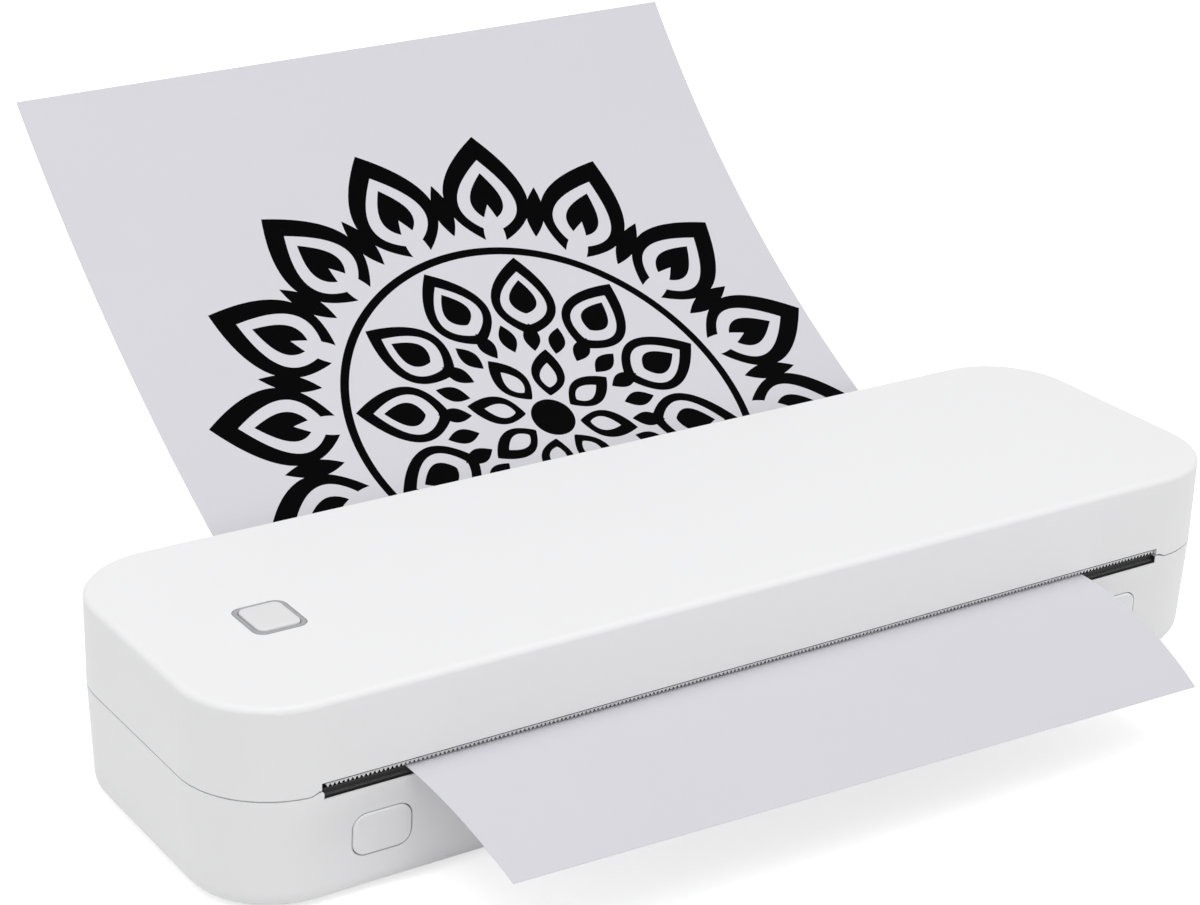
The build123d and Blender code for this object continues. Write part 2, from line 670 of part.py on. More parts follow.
with BuildPart() as board_components:
    block((-92.0, -80.0), (14.0, 26.0), (board_z[1], board_z[1] + 1.4))
    block((-75.0, -69.0), (10.0, 20.0), (board_z[1], board_z[1] + 1.6))
    block((-75.0, -68.0), (24.0, 31.0), (board_z[1], board_z[1] + 3.0))
    for y in (8.0, 18.0, 28.0):
        z_rod(2.6, -52.0, y, (board_z[1], board_z[1] + 6.0))
    block((-126.5, -112.5), (28.0, 32.5), (board_z[1], board_z[1] + 3.0))
    block((-47.0, -41.0), (20.0, 26.0), (board_z[1], board_z[1] + 4.0))
    block((-100.0, -92.0), (2.0, 6.0), (board_z[1], board_z[1] + 4.0))
save(board_components, "board_components")

with BuildPart() as board_screws:
    for x, y in board_posts:
        z_rod(small_screw_radius, x, y, (floor_z + 0.5, board_z[1]))
        top_screw_head(x, y, board_z[1])
save(board_screws, "board_screws")

with BuildPart() as usb_socket:
    with BuildSketch(Plane.XZ.offset(-45.9)):
        with Locations((usb_x, usb_z)):
            RectangleRounded(*usb_size, usb_size[1] / 2 - 0.01)
            RectangleRounded(usb_size[0] - 0.7, usb_size[1] - 0.7, usb_size[1] / 2 - 0.36, mode=Mode.SUBTRACT)
    extrude(amount=7.3)
    block((usb_x - 4.0, usb_x + 4.0), (38.6, 39.6), (usb_z - 1.2, usb_z + 1.2))
    block((usb_x - 3.3, usb_x + 3.3), (39.6, 45.0), (usb_z - 0.35, usb_z + 0.35))
save(usb_socket, "usb_socket")

cell_x = (cell_start_x, cell_start_x + cell_length)
with BuildPart() as battery_holder:
    block((cell_x[0] - 3, cell_x[1] + 3), (cell_places[0][0] - 10, cell_places[1][0] + 10), (floor_z, 11.0))
    for y, z in cell_places:
        x_rod(cell_radius + 0.15, (cell_x[0] - 0.6, cell_x[1] + 0.6), y, z, Mode.SUBTRACT)
save(battery_holder, "battery_holder")

with BuildPart() as battery_cells:
    for y, z in cell_places:
        x_rod(cell_radius, cell_x, y, z - 0.14)
    fillet(edges(), 0.7)
save(battery_cells, "battery_cells")

# ============================================================================================
# Cover
# ============================================================================================
boss_places = [(x, -14.0) for x in (-95.0, -35.0, 35.0, 95.0)]
button_board_bosses = [(-111.0, -12.2), (-111.0, 13.0)]
with BuildPart() as cover_shell:
    with BuildSketch(Plane.XY.offset(cover_rim_z)):
        RectangleRounded(length, depth, corner_radius)
    extrude(amount=top_z - cover_rim_z)
    fillet(faces().sort_by(Axis.Z)[-1].edges(), top_round)
    with BuildSketch(Plane.XY.offset(cover_rim_z)):
        RectangleRounded(length - 2 * wall, depth - 2 * wall, corner_radius - wall)
    extrude(amount=ceiling_z - cover_rim_z, mode=Mode.SUBTRACT)
    # the front edge steps up beside the slot, and the slot's roof is a thin lip over the comb
    with BuildSketch(Plane.XZ.offset(half_depth + wall)):
        for side in SIDES:
            rim_step(side, cover_rim_z, rim_rise + rim_gap_growth, -rim_rise)
    extrude(amount=-3 * wall, mode=Mode.SUBTRACT)
    block(cover_slot_x, (outside_y, -inner_half_depth + 0.1),
          (cover_rim_z - 1, slot_roof_z), Mode.SUBTRACT)
    block(cover_slot_x, (-half_depth + lip_thickness, -inner_half_depth + 0.1),
          (slot_roof_z, comb_top_z), Mode.SUBTRACT)
    # the rear is open between the corner skirts, for the sheet and the base's rear wall
    block((-skirt_start_x, skirt_start_x), (inner_half_depth - 0.1, half_depth + wall),
          (cover_rim_z - 1, ceiling_z), Mode.SUBTRACT)
    for side in SIDES:
        block(on_side(side, cover_knuckle), (hinge_y - knuckle_radius, hinge_y + knuckle_radius),
              (hinge_z, ceiling_z))
        x_rod(knuckle_radius, on_side(side, cover_knuckle), hinge_y, hinge_z)
        x_rod(hinge_pin_radius + running_clearance, on_side(side, cover_knuckle), hinge_y, hinge_z,
              Mode.SUBTRACT)
    # the light ring's window
    with BuildSketch(Plane.XY.offset(ceiling_z)):
        with Locations((power_x, power_y)):
            RectangleRounded(ring_size[0] + 0.1, ring_size[1] + 0.1, ring_corner + 0.05)
    extrude(amount=2 * wall, mode=Mode.SUBTRACT)
    # bosses for the head bracket and the button board, and the rib that presses the cover switch
    for x, y in boss_places:
        z_rod(3.5, x, y, (bracket_z[1], ceiling_z + wall / 2))
        z_rod(small_hole_radius, x, y, (bracket_z[1], bracket_z[1] + 6), Mode.SUBTRACT)
    for x, y in button_board_bosses:
        z_rod(2.2, x, y, (button_board_z[1], ceiling_z + wall / 2))
        z_rod(small_hole_radius, x, y, (button_board_z[1], button_board_z[1] + 5), Mode.SUBTRACT)
    block((-137.0, -135.0), (-2.0, 6.0), (36.6, ceiling_z + wall / 2))
save(cover_shell, "cover_shell")

with BuildPart() as tear_bar:
    block(comb_x, (comb_face_y, comb_back_y), (tooth_root_z, comb_top_z))
    block(comb_x, (comb_face_y, comb_face_y + comb_groove_depth), comb_groove_z, Mode.SUBTRACT)
    tooth_heights = (tooth_root_z, tooth_tip_z, tooth_tip_z, tooth_root_z)
    tooth_pitch = (comb_x[1] - comb_x[0]) / tooth_count
    outline = [(comb_x[0], tooth_root_z + 0.05)]
    for tooth in range(tooth_count):
        start = comb_x[0] + tooth * tooth_pitch
        outline += [(start + share * tooth_pitch, z) for share, z in zip(tooth_shares, tooth_heights)]
    outline.append((comb_x[1], tooth_root_z + 0.05))
    with BuildSketch(Plane.XZ.offset(-comb_face_y)):
        with BuildLine():
            Polyline(*outline, close=True)
        make_face()
    extrude(amount=-tooth_thickness)
save(tear_bar, "tear_bar")

with BuildPart() as paper_liner:
    with BuildSketch(Plane.YZ):
        bend_band(*liner_y, liner_radius - liner_thickness, liner_radius)
    extrude(amount=deck_half_width - 0.5, both=True)
    for x in liner_rib_places:
        with BuildSketch(Plane.YZ.offset(x - 1)):
            mid_radius = liner_radius - liner_thickness / 2
            stops = [(y, bend_height(mid_radius, y)) for y in (4.0, 21.0, 38.0)]
            with BuildLine():
                ThreePointArc(*stops)
                Polyline(stops[2], (stops[2][0], ceiling_z), (stops[0][0], ceiling_z), stops[0])
            make_face()
        extrude(amount=2)
save(paper_liner, "paper_liner")

with BuildPart() as head_bracket:
    block((-bracket_half_length, bracket_half_length), bracket_y, bracket_z)
    block((-bracket_half_length, bracket_half_length), (bracket_y[0], bracket_y[0] + bracket_thickness),
          (bracket_z[0] - 4.6, bracket_z[1]))
    block((-bracket_half_length, bracket_half_length), (bracket_y[1] - bracket_thickness, bracket_y[1]),
          (bracket_z[0] - 4.0, bracket_z[1]))
    fillet(edges().group_by(Axis.Z)[-1].filter_by(Axis.X), 0.8)
    for x, y in boss_places:
        z_rod(small_hole_radius, x, y, bracket_z, Mode.SUBTRACT)
    for x in (-head_pin_x, head_pin_x):
        z_rod(head_pin_radius, x, head_pin_y, bracket_z, Mode.SUBTRACT)
save(head_bracket, "head_bracket")

with BuildPart() as head_pins:
    for x in (-head_pin_x, head_pin_x):
        z_rod(head_pin_radius, x, head_pin_y, (33.0, bracket_z[1]))
        z_rod(head_pin_radius + 1.0, x, head_pin_y, (33.0, 33.8))
        z_rod(head_pin_radius + 0.9, x, head_pin_y, (bracket_z[1], bracket_z[1] + 0.6))
save(head_pins, "head_pins")

with BuildPart() as bracket_screws:
    for x, y in boss_places:
        z_rod(small_screw_radius, x, y, (bracket_z[0], bracket_z[1] + 5))
        under_screw_head(x, y, bracket_z[0])
save(bracket_screws, "bracket_screws")

for side, hand in SIDES.items():
    with BuildPart() as cover_catch:
        block(on_side(side, catch_x), catch_y, (catch_hook_z[0], ceiling_z))
        block(on_side(side, catch_x), (catch_y[1], catch_hook_y), catch_hook_z)
        block(on_side(side, (catch_x[0] - 2, catch_x[1])), (catch_y[0], catch_y[1] + 4),
              (ceiling_z - 1.6, ceiling_z))
        fillet(edges().filter_by(Axis.X).group_by(Axis.Z)[0], 0.5)
    save(cover_catch, f"cover_catch_{hand}")

# ============================================================================================
# Print head
# ============================================================================================
with BuildPart() as head_heatsink:
    block((-head_half_length, head_half_length), heatsink_y, heatsink_z)
    for y in (-32.0, -23.0):
        block((-98.0, 98.0), (y, y + 1.6), (heatsink_z[1] - 1.2, heatsink_z[1]), Mode.SUBTRACT)
    for x in (-head_pin_x, head_pin_x):
        z_rod(head_pin_radius + running_clearance, x, head_pin_y, heatsink_z, Mode.SUBTRACT)
        z_rod(head_pin_radius + 1.3, x, head_pin_y, (heatsink_z[0], 34.0), Mode.SUBTRACT)
    chamfer(edges().filter_by(Axis.X).group_by(Axis.Y)[0], 0.4)
save(head_heatsink, "head_heatsink")

with BuildPart() as head_ceramic:
    block((-100.0, 100.0), ceramic_y, ceramic_z)
    block((-99.0, 99.0), (platen_y - 0.6, platen_y + 0.6), (ceramic_z[0] - 0.05, ceramic_z[0]))
save(head_ceramic, "head_ceramic")

with BuildPart() as head_board:
    block((-128.0, 108.0), (heatsink_y[1], -8.6), head_board_z)
    block((-127.5, -115.5), (-16.5, -12.5), (head_board_z[1], head_board_z[1] + 2.0))
    for index in range(12):
        x = -96 + 16 * index
        block((x, x + 9), (-16.5, -13.5), (head_board_z[1], head_board_z[1] + 0.9))
save(head_board, "head_board")

with BuildPart() as head_springs:
    for x in head_spring_places:
        coil((x, -27.5, heatsink_z[1]), (0, 0, 1), bracket_z[0] - heatsink_z[1], 2.4, 0.35, 4)
save(head_springs, "head_springs")

# ============================================================================================
# Power button, its ring, switch and board
# ============================================================================================
with BuildPart() as power_ring:
    with BuildSketch(Plane.XY.offset(ceiling_z)):
        with Locations((power_x, power_y)):
            RectangleRounded(*ring_size, ring_corner)
    extrude(amount=wall + 0.05)
    fillet(faces().sort_by(Axis.Z)[-1].edges(), 0.3)
    with BuildSketch(Plane.XY.offset(ceiling_z)):
        with Locations((power_x, power_y)):
            RectangleRounded(ring_size[0] + 2.4, ring_size[1] + 2.4, ring_corner + 1)
    extrude(amount=-1.0)
    with BuildSketch(Plane.XY.offset(ceiling_z - 1)):
        with Locations((power_x, power_y)):
            RectangleRounded(*ring_hole, ring_hole_corner)
    extrude(amount=4 * wall, mode=Mode.SUBTRACT)
save(power_ring, "power_ring")

with BuildPart() as power_button:
    with BuildSketch(Plane.XY.offset(power_flange_z)):
        with Locations((power_x, power_y)):
            RectangleRounded(*power_cap, power_cap_corner)
    extrude(amount=top_z + power_cap_rise - power_flange_z)
    fillet(faces().sort_by(Axis.Z)[-1].edges(), 0.5)
    with BuildSketch(Plane.XY.offset(power_flange_z)):
        with Locations((power_x, power_y)):
            RectangleRounded(ring_hole[0] + 1.6, ring_hole[1] + 1.6, ring_hole_corner + 0.8)
    extrude(amount=1.3)
    z_rod(1.6, power_x, power_y, (49.75, 50.5))
save(power_button, "power_button")

with BuildPart() as button_board:
    block((-130.0, -108.5), (-14.5, 22.0), button_board_z)
    block((-125.5, -113.5), (17.0, 21.0), (button_board_z[1], button_board_z[1] + 1.6))
    block((-127.0, -117.0), (-14.5, -11.5), (button_board_z[0] - 1.6, button_board_z[0]))
    for x, y in button_board_bosses:
        z_rod(small_hole_radius, x, y, button_board_z, Mode.SUBTRACT)
save(button_board, "button_board")

with BuildPart() as power_switch:
    switch_top_z = button_board_z[1] + 1.6
    block((power_x - 3, power_x + 3), (power_y - 3, power_y + 3), (button_board_z[1], switch_top_z))
    z_rod(1.6, power_x, power_y, (switch_top_z, 49.1))
save(power_switch, "power_switch")

with BuildPart() as button_board_screws:
    for x, y in button_board_bosses:
        z_rod(small_screw_radius, x, y, (button_board_z[0], button_board_z[1] + 4))
        under_screw_head(x, y, button_board_z[0])
save(button_board_screws, "button_board_screws")

with BuildPart() as cover_switch:
    block((-141.0, -131.0), (-1.0, 5.0), (tray_z[1], tray_z[1] + 6.0))
    z_rod(0.8, -136.0, 2.0, (tray_z[1] + 6.0, 36.4))
save(cover_switch, "cover_switch")

# ============================================================================================
# Release buttons and latches
# ============================================================================================
lean = math.atan(base_taper / (parting_z - foot_height))
face_y = -half_depth + base_taper * (parting_z - button_z) / (parting_z - foot_height)
for side, hand in SIDES.items():
    with BuildPart() as release_button:
        with BuildSketch(Plane.XZ.offset(-button_back_y)):
            with Locations((side * button_x, button_z)):
                RectangleRounded(*button_size, button_corner)
        extrude(amount=6)
        facing = (0, -math.cos(lean), -math.sin(lean))
        front_plane = Plane(origin=(0, face_y, button_z), x_dir=(1, 0, 0), z_dir=facing)
        split(bisect_by=front_plane, keep=Keep.BOTTOM)
        fillet(faces().sort_by(Axis.Y)[0].edges(), 0.35)
    save(release_button, f"release_button_{hand}")

    with BuildPart() as latch_slide:
        block(on_side(side, (108.4, latch_arm_x[1])), latch_plate_y, latch_plate_z)
        block(on_side(side, latch_arm_x), (latch_plate_y[1], latch_arm_y[0]), latch_plate_z)
        block(on_side(side, latch_arm_x), latch_arm_y, (latch_plate_z[0], latch_nose_z[1]))
        block(on_side(side, (119.2, 123.8)), (latch_arm_y[0] - 1.4, latch_arm_y[0]), latch_nose_z)
        y_rod(spring_pin_radius + 0.1, side * latch_spring_x, (latch_plate_y[0] + 0.6, latch_plate_y[1]),
              latch_spring_z, Mode.SUBTRACT)
    save(latch_slide, f"latch_slide_{hand}")

    with BuildPart() as latch_spring:
        coil((side * latch_spring_x, latch_plate_y[1], latch_spring_z), (0, 1, 0),
             spring_post_y[0] - latch_plate_y[1], 1.45, 0.25, 5)
    save(latch_spring, f"latch_spring_{hand}")

with BuildPart() as hinge_pins:
    for side in SIDES:
        x_rod(hinge_pin_radius, on_side(side, (outer_knuckles[0][0] - 0.4, outer_knuckles[1][1] + 0.4)),
              hinge_y, hinge_z)
save(hinge_pins, "hinge_pins")

# ============================================================================================
# Cables inside
# ============================================================================================
ribbon_thickness = 0.3
main_ribbon_route = [(30.25, board_z[1] + 3.0), (30.25, 20.0), (39.0, 27.0), (41.0, 41.0), (36.0, 49.4),
                     (27.0, 49.4), (25.0, button_board_z[1] + 0.8), (21.0, button_board_z[1] + 0.8)]
with BuildPart() as main_ribbon:
    with BuildLine(Plane.YZ.offset(-119.5)):
        path = FilletPolyline(*main_ribbon_route, radius=1.2)
    with BuildSketch(Plane(origin=path @ 0, x_dir=(1, 0, 0), z_dir=path % 0)):
        Rectangle(10.0, ribbon_thickness)
    sweep(path=path)
save(main_ribbon, "main_ribbon")

head_ribbon_route = [(-13.0, button_board_z[0] - 1.6), (-13.0, 41.6), (-9.4, 40.0), (-14.5, 38.6),
                     (-14.5, head_board_z[1] + 2.0)]
with BuildPart() as head_ribbon:
    with BuildLine(Plane.YZ.offset(-121.8)):
        path = FilletPolyline(*head_ribbon_route, radius=0.7)
    with BuildSketch(Plane(origin=path @ 0, x_dir=(1, 0, 0), z_dir=path % 0)):
        Rectangle(8.0, ribbon_thickness)
    sweep(path=path)
save(head_ribbon, "head_ribbon")

lead_routes = {
    "battery_lead": [(cell_x[0] - 3, 21.2, 8.0), (6.0, 21.2, 8.0), (-14.0, 26.0, 5.2), (-30.0, 23.0, 11.6),
                     (-41.0, 23.0, 11.6)],
    "motor_lead": [(frame_x[0] - motor_length, motor_y, 20.0), (86.0, motor_y, 20.0), (82.0, -12.0, 5.0),
                   (60.0, -17.0, 4.4), (-60.0, -17.0, 4.4), (-96.0, -14.0, 6.0), (-96.0, -5.0, 11.6),
                   (-96.0, 2.0, 11.6)],
}
for name, route in lead_routes.items():
    with BuildPart() as lead:
        with BuildLine():
            path = FilletPolyline(*route, radius=4.0)
        with BuildSketch(Plane(origin=path @ 0, z_dir=path % 0)):
            Circle(1.0)
        sweep(path=path)
    save(lead, name)

# ============================================================================================
# The loaded sheet
# ============================================================================================
outlet_level = sheet_level + sheet_rise
rise_half_length = (rise_start_y - rise_end_y) / 2
rise_radius = (rise_half_length ** 2 + (sheet_rise / 2) ** 2) / sheet_rise
rise_angle = math.asin(rise_half_length / rise_radius)
bend_angle = math.asin((bend_end_y - bend_start_y) / bend_radius)
level_length = (bend_start_y - rise_start_y) + (rise_end_y - outlet_bend_y)
rear_length = (sheet_length - outlet_length - level_length - 2 * rise_radius * rise_angle
               - bend_radius * bend_angle)


def turned(centre, radius, angle):
    """A point in Y and Z at a radius from a centre, the angle measured from straight up towards +Y."""
    return (centre[0] + radius * math.sin(angle), centre[1] + radius * math.cos(angle))


def sheet_edge(side, offset):
    """Arc ends and middles along one face of the sheet's edge, from the outlet end to the rear."""
    out_radius = outlet_radius[side]
    out_angle = outlet_length / out_radius
    free_radius = rear_radius[side]
    free_angle = rear_length / free_radius
    outlet_centre = (outlet_bend_y, outlet_level - out_radius)
    crest_centre = (rise_end_y, outlet_level - rise_radius)
    dip_centre = (rise_start_y, sheet_level + rise_radius)
    bend_centre = (bend_start_y, bend_centre_z)
    free_centre = turned(bend_centre, bend_radius - free_radius, math.pi - bend_angle)
    points = [turned(outlet_centre, out_radius + offset, -out_angle * share) for share in (1, 0.5, 0)]
    points += [turned(crest_centre, rise_radius + offset, rise_angle * share) for share in (0, 0.5, 1)]
    points += [turned(dip_centre, offset - rise_radius, rise_angle * share) for share in (0.5, 0)]
    points += [turned(bend_centre, bend_radius - offset, math.pi - bend_angle * share)
               for share in (0, 0.5, 1)]
    points += [turned(free_centre, free_radius - offset, math.pi - bend_angle - free_angle * share)
               for share in (0.5, 1)]
    return points


def sheet_outline(side):
    """The closed outline of the sheet's section at one of its long edges."""
    upper = sheet_edge(side, sheet_thickness / 2)
    lower = sheet_edge(side, -sheet_thickness / 2)
    with BuildLine() as outline:
        for points in (upper, lower):
            for first in (0, 3, 5, 8, 10):
                ThreePointArc(*points[first:first + 3])
            for first in (2, 7):
                Line(points[first], points[first + 1])
        Line(upper[0], lower[0])
        Line(upper[-1], lower[-1])
    make_face(outline.edges())


with BuildPart() as paper_sheet:
    for side in SIDES:
        with BuildSketch(Plane.YZ.offset(sheet_centre_x + side * sheet_width / 2)):
            sheet_outline(side)
    loft(ruled=True)
save(paper_sheet, "paper_sheet")
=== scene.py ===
"""Looks for the portable thermal printer: housing, paper path, mechanism and the loaded sheet."""
import json
import logging
import math
from dataclasses import dataclass
from enum import Enum
from typing import Callable, Iterable, Sequence

import bmesh
import bpy
from mathutils import Matrix, Vector


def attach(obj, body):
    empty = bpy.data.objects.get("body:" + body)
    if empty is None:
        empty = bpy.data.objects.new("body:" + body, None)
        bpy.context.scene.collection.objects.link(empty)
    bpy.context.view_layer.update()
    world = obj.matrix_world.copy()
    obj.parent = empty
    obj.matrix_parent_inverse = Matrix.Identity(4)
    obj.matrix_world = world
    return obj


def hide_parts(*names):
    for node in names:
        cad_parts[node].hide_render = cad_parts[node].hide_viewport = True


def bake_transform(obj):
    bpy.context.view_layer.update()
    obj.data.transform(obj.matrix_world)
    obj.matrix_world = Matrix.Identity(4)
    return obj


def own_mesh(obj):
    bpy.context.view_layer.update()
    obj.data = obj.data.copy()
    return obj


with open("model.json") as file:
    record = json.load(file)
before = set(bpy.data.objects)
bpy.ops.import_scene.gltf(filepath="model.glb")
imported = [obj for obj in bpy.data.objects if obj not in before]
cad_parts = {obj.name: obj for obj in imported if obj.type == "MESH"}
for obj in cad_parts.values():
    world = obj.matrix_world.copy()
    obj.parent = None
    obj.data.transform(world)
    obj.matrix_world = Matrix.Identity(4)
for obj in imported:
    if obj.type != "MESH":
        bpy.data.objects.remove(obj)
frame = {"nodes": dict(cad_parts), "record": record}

log = logging.getLogger("printer")
MM = 0.001
SMOOTH_LIMIT = math.radians(32)

Point2 = tuple[float, float]
Point3 = tuple[float, float, float]
Tier = tuple[float, float, float, float]
Shade = tuple[float, float, float, float]
Node = bpy.types.Node
Socket = bpy.types.NodeSocket
Material = bpy.types.Material
NodeTree = bpy.types.NodeTree
Object = bpy.types.Object
Ring = list[bmesh.types.BMVert]
Sockets = dict[str, Socket]

WHITE: Shade = (1.0, 1.0, 1.0, 1.0)


class Body(Enum):
    """The bodies that the detailed pieces ride on, by the frame's own names."""

    BASE = "base"
    COVER = "cover"
    HEAD = "head"
    POWER_BUTTON = "power_button"
    RELEASE_LEFT = "release_left"
    RELEASE_RIGHT = "release_right"


class Hand(Enum):
    """The printer's two ends, with the sign that x has there."""

    LEFT = -1
    RIGHT = 1

    @property
    def word(self) -> str:
        """The end's name, as nodes and joints have it."""
        return self.name.lower()


def linear(colour: Point3) -> Shade:
    """Turn a colour as a screen shows it into the renderer's scale.

    Args:
        colour: red, green and blue from 0 to 255.

    Returns:
        Linear red, green and blue, and an alpha of 1.
    """
    shares = [part / 255 for part in colour]
    red, green, blue = (share / 12.92 if share <= 0.04045 else ((share + 0.055) / 1.055) ** 2.4
                        for share in shares)
    return red, green, blue, 1.0


def scaled(shade: Shade, factor: float) -> Shade:
    """A linear colour made darker or lighter."""
    return shade[0] * factor, shade[1] * factor, shade[2] * factor, 1.0


# ---------------------------------------------------------------------------------------------
# Node trees
# ---------------------------------------------------------------------------------------------
class Graph:
    """A thin layer over a node tree, so that nodes are placed and joined in one line."""

    def __init__(self, tree: NodeTree) -> None:
        """Start on a tree with its nodes cleared."""
        self.tree = tree
        tree.nodes.clear()

    def node(self, kind: str, links: dict | None = None, **settings: object) -> Node:
        """Add a node.

        Args:
            kind: the node's type name.
            links: input name or number to a value or to another node's output socket.
            settings: the node's own properties.

        Returns:
            The new node.
        """
        made = self.tree.nodes.new(kind)
        for key, value in settings.items():
            setattr(made, key, value)
        self.feed(made, links or {})
        return made

    def feed(self, node: Node, links: dict) -> None:
        """Join a node's inputs to outputs, or set their values.

        Args:
            node: the node.
            links: input name or number to a value or to another node's output socket.
        """
        for key, value in links.items():
            if isinstance(value, Socket):
                self.tree.links.new(value, node.inputs[key])
            else:
                node.inputs[key].default_value = value

    def math(self, operation: str, *values: object, clamp: bool = False) -> Socket:
        """Do one sum.

        Args:
            operation: the Math node's name for it.
            values: up to three values or sockets.
            clamp: whether the result is held from 0 to 1.

        Returns:
            The result.
        """
        made = self.node("ShaderNodeMath", dict(enumerate(values)), operation=operation, use_clamp=clamp)
        return made.outputs[0]

    def plus(self, first: object, second: object) -> Socket:
        """Add two values."""
        return self.math("ADD", first, second)

    def minus(self, first: object, second: object) -> Socket:
        """Take the second value from the first."""
        return self.math("SUBTRACT", first, second)

    def times(self, first: object, second: object) -> Socket:
        """Multiply two values."""
        return self.math("MULTIPLY", first, second)

    def vector(self, operation: str, *values: object) -> Node:
        """Do one vector sum and return its node."""
        return self.node("ShaderNodeVectorMath", dict(enumerate(values)), operation=operation)

    def ramp(self, value: object, low: float, high: float, out_low: float = 0.0,
             out_high: float = 1.0) -> Socket:
        """Spread one range of values over another.

        Args:
            value: what is spread.
            low: the value that gives out_low.
            high: the value that gives out_high.
            out_low: the result at and before low.
            out_high: the result at and past high.

        Returns:
            The result, held at its ends.
        """
        made = self.node("ShaderNodeMapRange", {"Value": value, "From Min": low, "From Max": high,
                                                "To Min": out_low, "To Max": out_high})
        return made.outputs["Result"]

    def mix(self, share: object, first: object, second: object) -> Socket:
        """Mix two colours.

        Args:
            share: how much of the second, from 0 to 1.
            first: a colour or a socket.
            second: a colour or a socket.

        Returns:
            The mixed colour.
        """
        first_colour, second_colour, mixed = 6, 7, 2
        made = self.node("ShaderNodeMix", data_type="RGBA", blend_type="MIX")
        self.feed(made, {"Factor": share, first_colour: first, second_colour: second})
        return made.outputs[mixed]

    def noise(self, place: object, scale: object, detail: float = 3.0, rough: float = 0.5) -> Socket:
        """Make a noise value about a half.

        Args:
            place: where on the piece.
            scale: how many of its waves fit into a metre.
            detail: how many finer layers it has.
            rough: how much each finer layer counts.

        Returns:
            The value.
        """
        made = self.node("ShaderNodeTexNoise", {"Vector": place, "Scale": scale, "Detail": detail,
                                                "Roughness": rough})
        return made.outputs["Fac"]

    def cells(self, place: object, scale: object) -> Socket:
        """The distance from the middle of the nearest of many small cells."""
        return self.node("ShaderNodeTexVoronoi", {"Vector": place, "Scale": scale}).outputs["Distance"]

    def place(self) -> Socket:
        """The place on the piece, in metres."""
        return self.node("ShaderNodeTexCoord").outputs["Object"]

    def normal(self) -> Socket:
        """The surface's normal."""
        return self.node("ShaderNodeNewGeometry").outputs["Normal"]

    def split(self, vector: object) -> tuple[Socket, Socket, Socket]:
        """The three parts of a vector."""
        x, y, z = self.node("ShaderNodeSeparateXYZ", {0: vector}).outputs
        return x, y, z


class Kind(Enum):
    """What a group's socket carries."""

    NUMBER = "NodeSocketFloat"
    VECTOR = "NodeSocketVector"


class Group:
    """A shader node group that is built once and placed in many materials."""

    def __init__(self, name: str, inputs: dict[str, float | Point3], outputs: dict[str, Kind],
                 fill: Callable[[Graph, Sockets], Sockets]) -> None:
        """Build the group.

        Args:
            name: the group's name.
            inputs: input names, with a number or a vector as the start value.
            outputs: output names, with what each carries.
            fill: adds the nodes between the inputs and the outputs.
        """
        self.tree = bpy.data.node_groups.new(name, "ShaderNodeTree")
        for label, value in inputs.items():
            kind = Kind.VECTOR if isinstance(value, tuple) else Kind.NUMBER
            socket = self.tree.interface.new_socket(name=label, in_out="INPUT", socket_type=kind.value)
            socket.default_value = value
        for label, kind in outputs.items():
            self.tree.interface.new_socket(name=label, in_out="OUTPUT", socket_type=kind.value)
        graph = Graph(self.tree)
        start = graph.node("NodeGroupInput")
        given = {label: start.outputs[label] for label in inputs}
        graph.node("NodeGroupOutput", fill(graph, given))

    def place(self, graph: Graph, links: dict[str, object]) -> Sockets:
        """Put the group into a material's tree, with its own values, and give its outputs by name."""
        return dict(graph.node("ShaderNodeGroup", links, node_tree=self.tree).outputs.items())
class Rolling(Enum):
    """The way the lines run on a metal piece, as how finely they repeat along x, y and z."""

    ALONG_X = (1.0, 40.0, 40.0)
    NONE = (12.0, 12.0, 12.0)


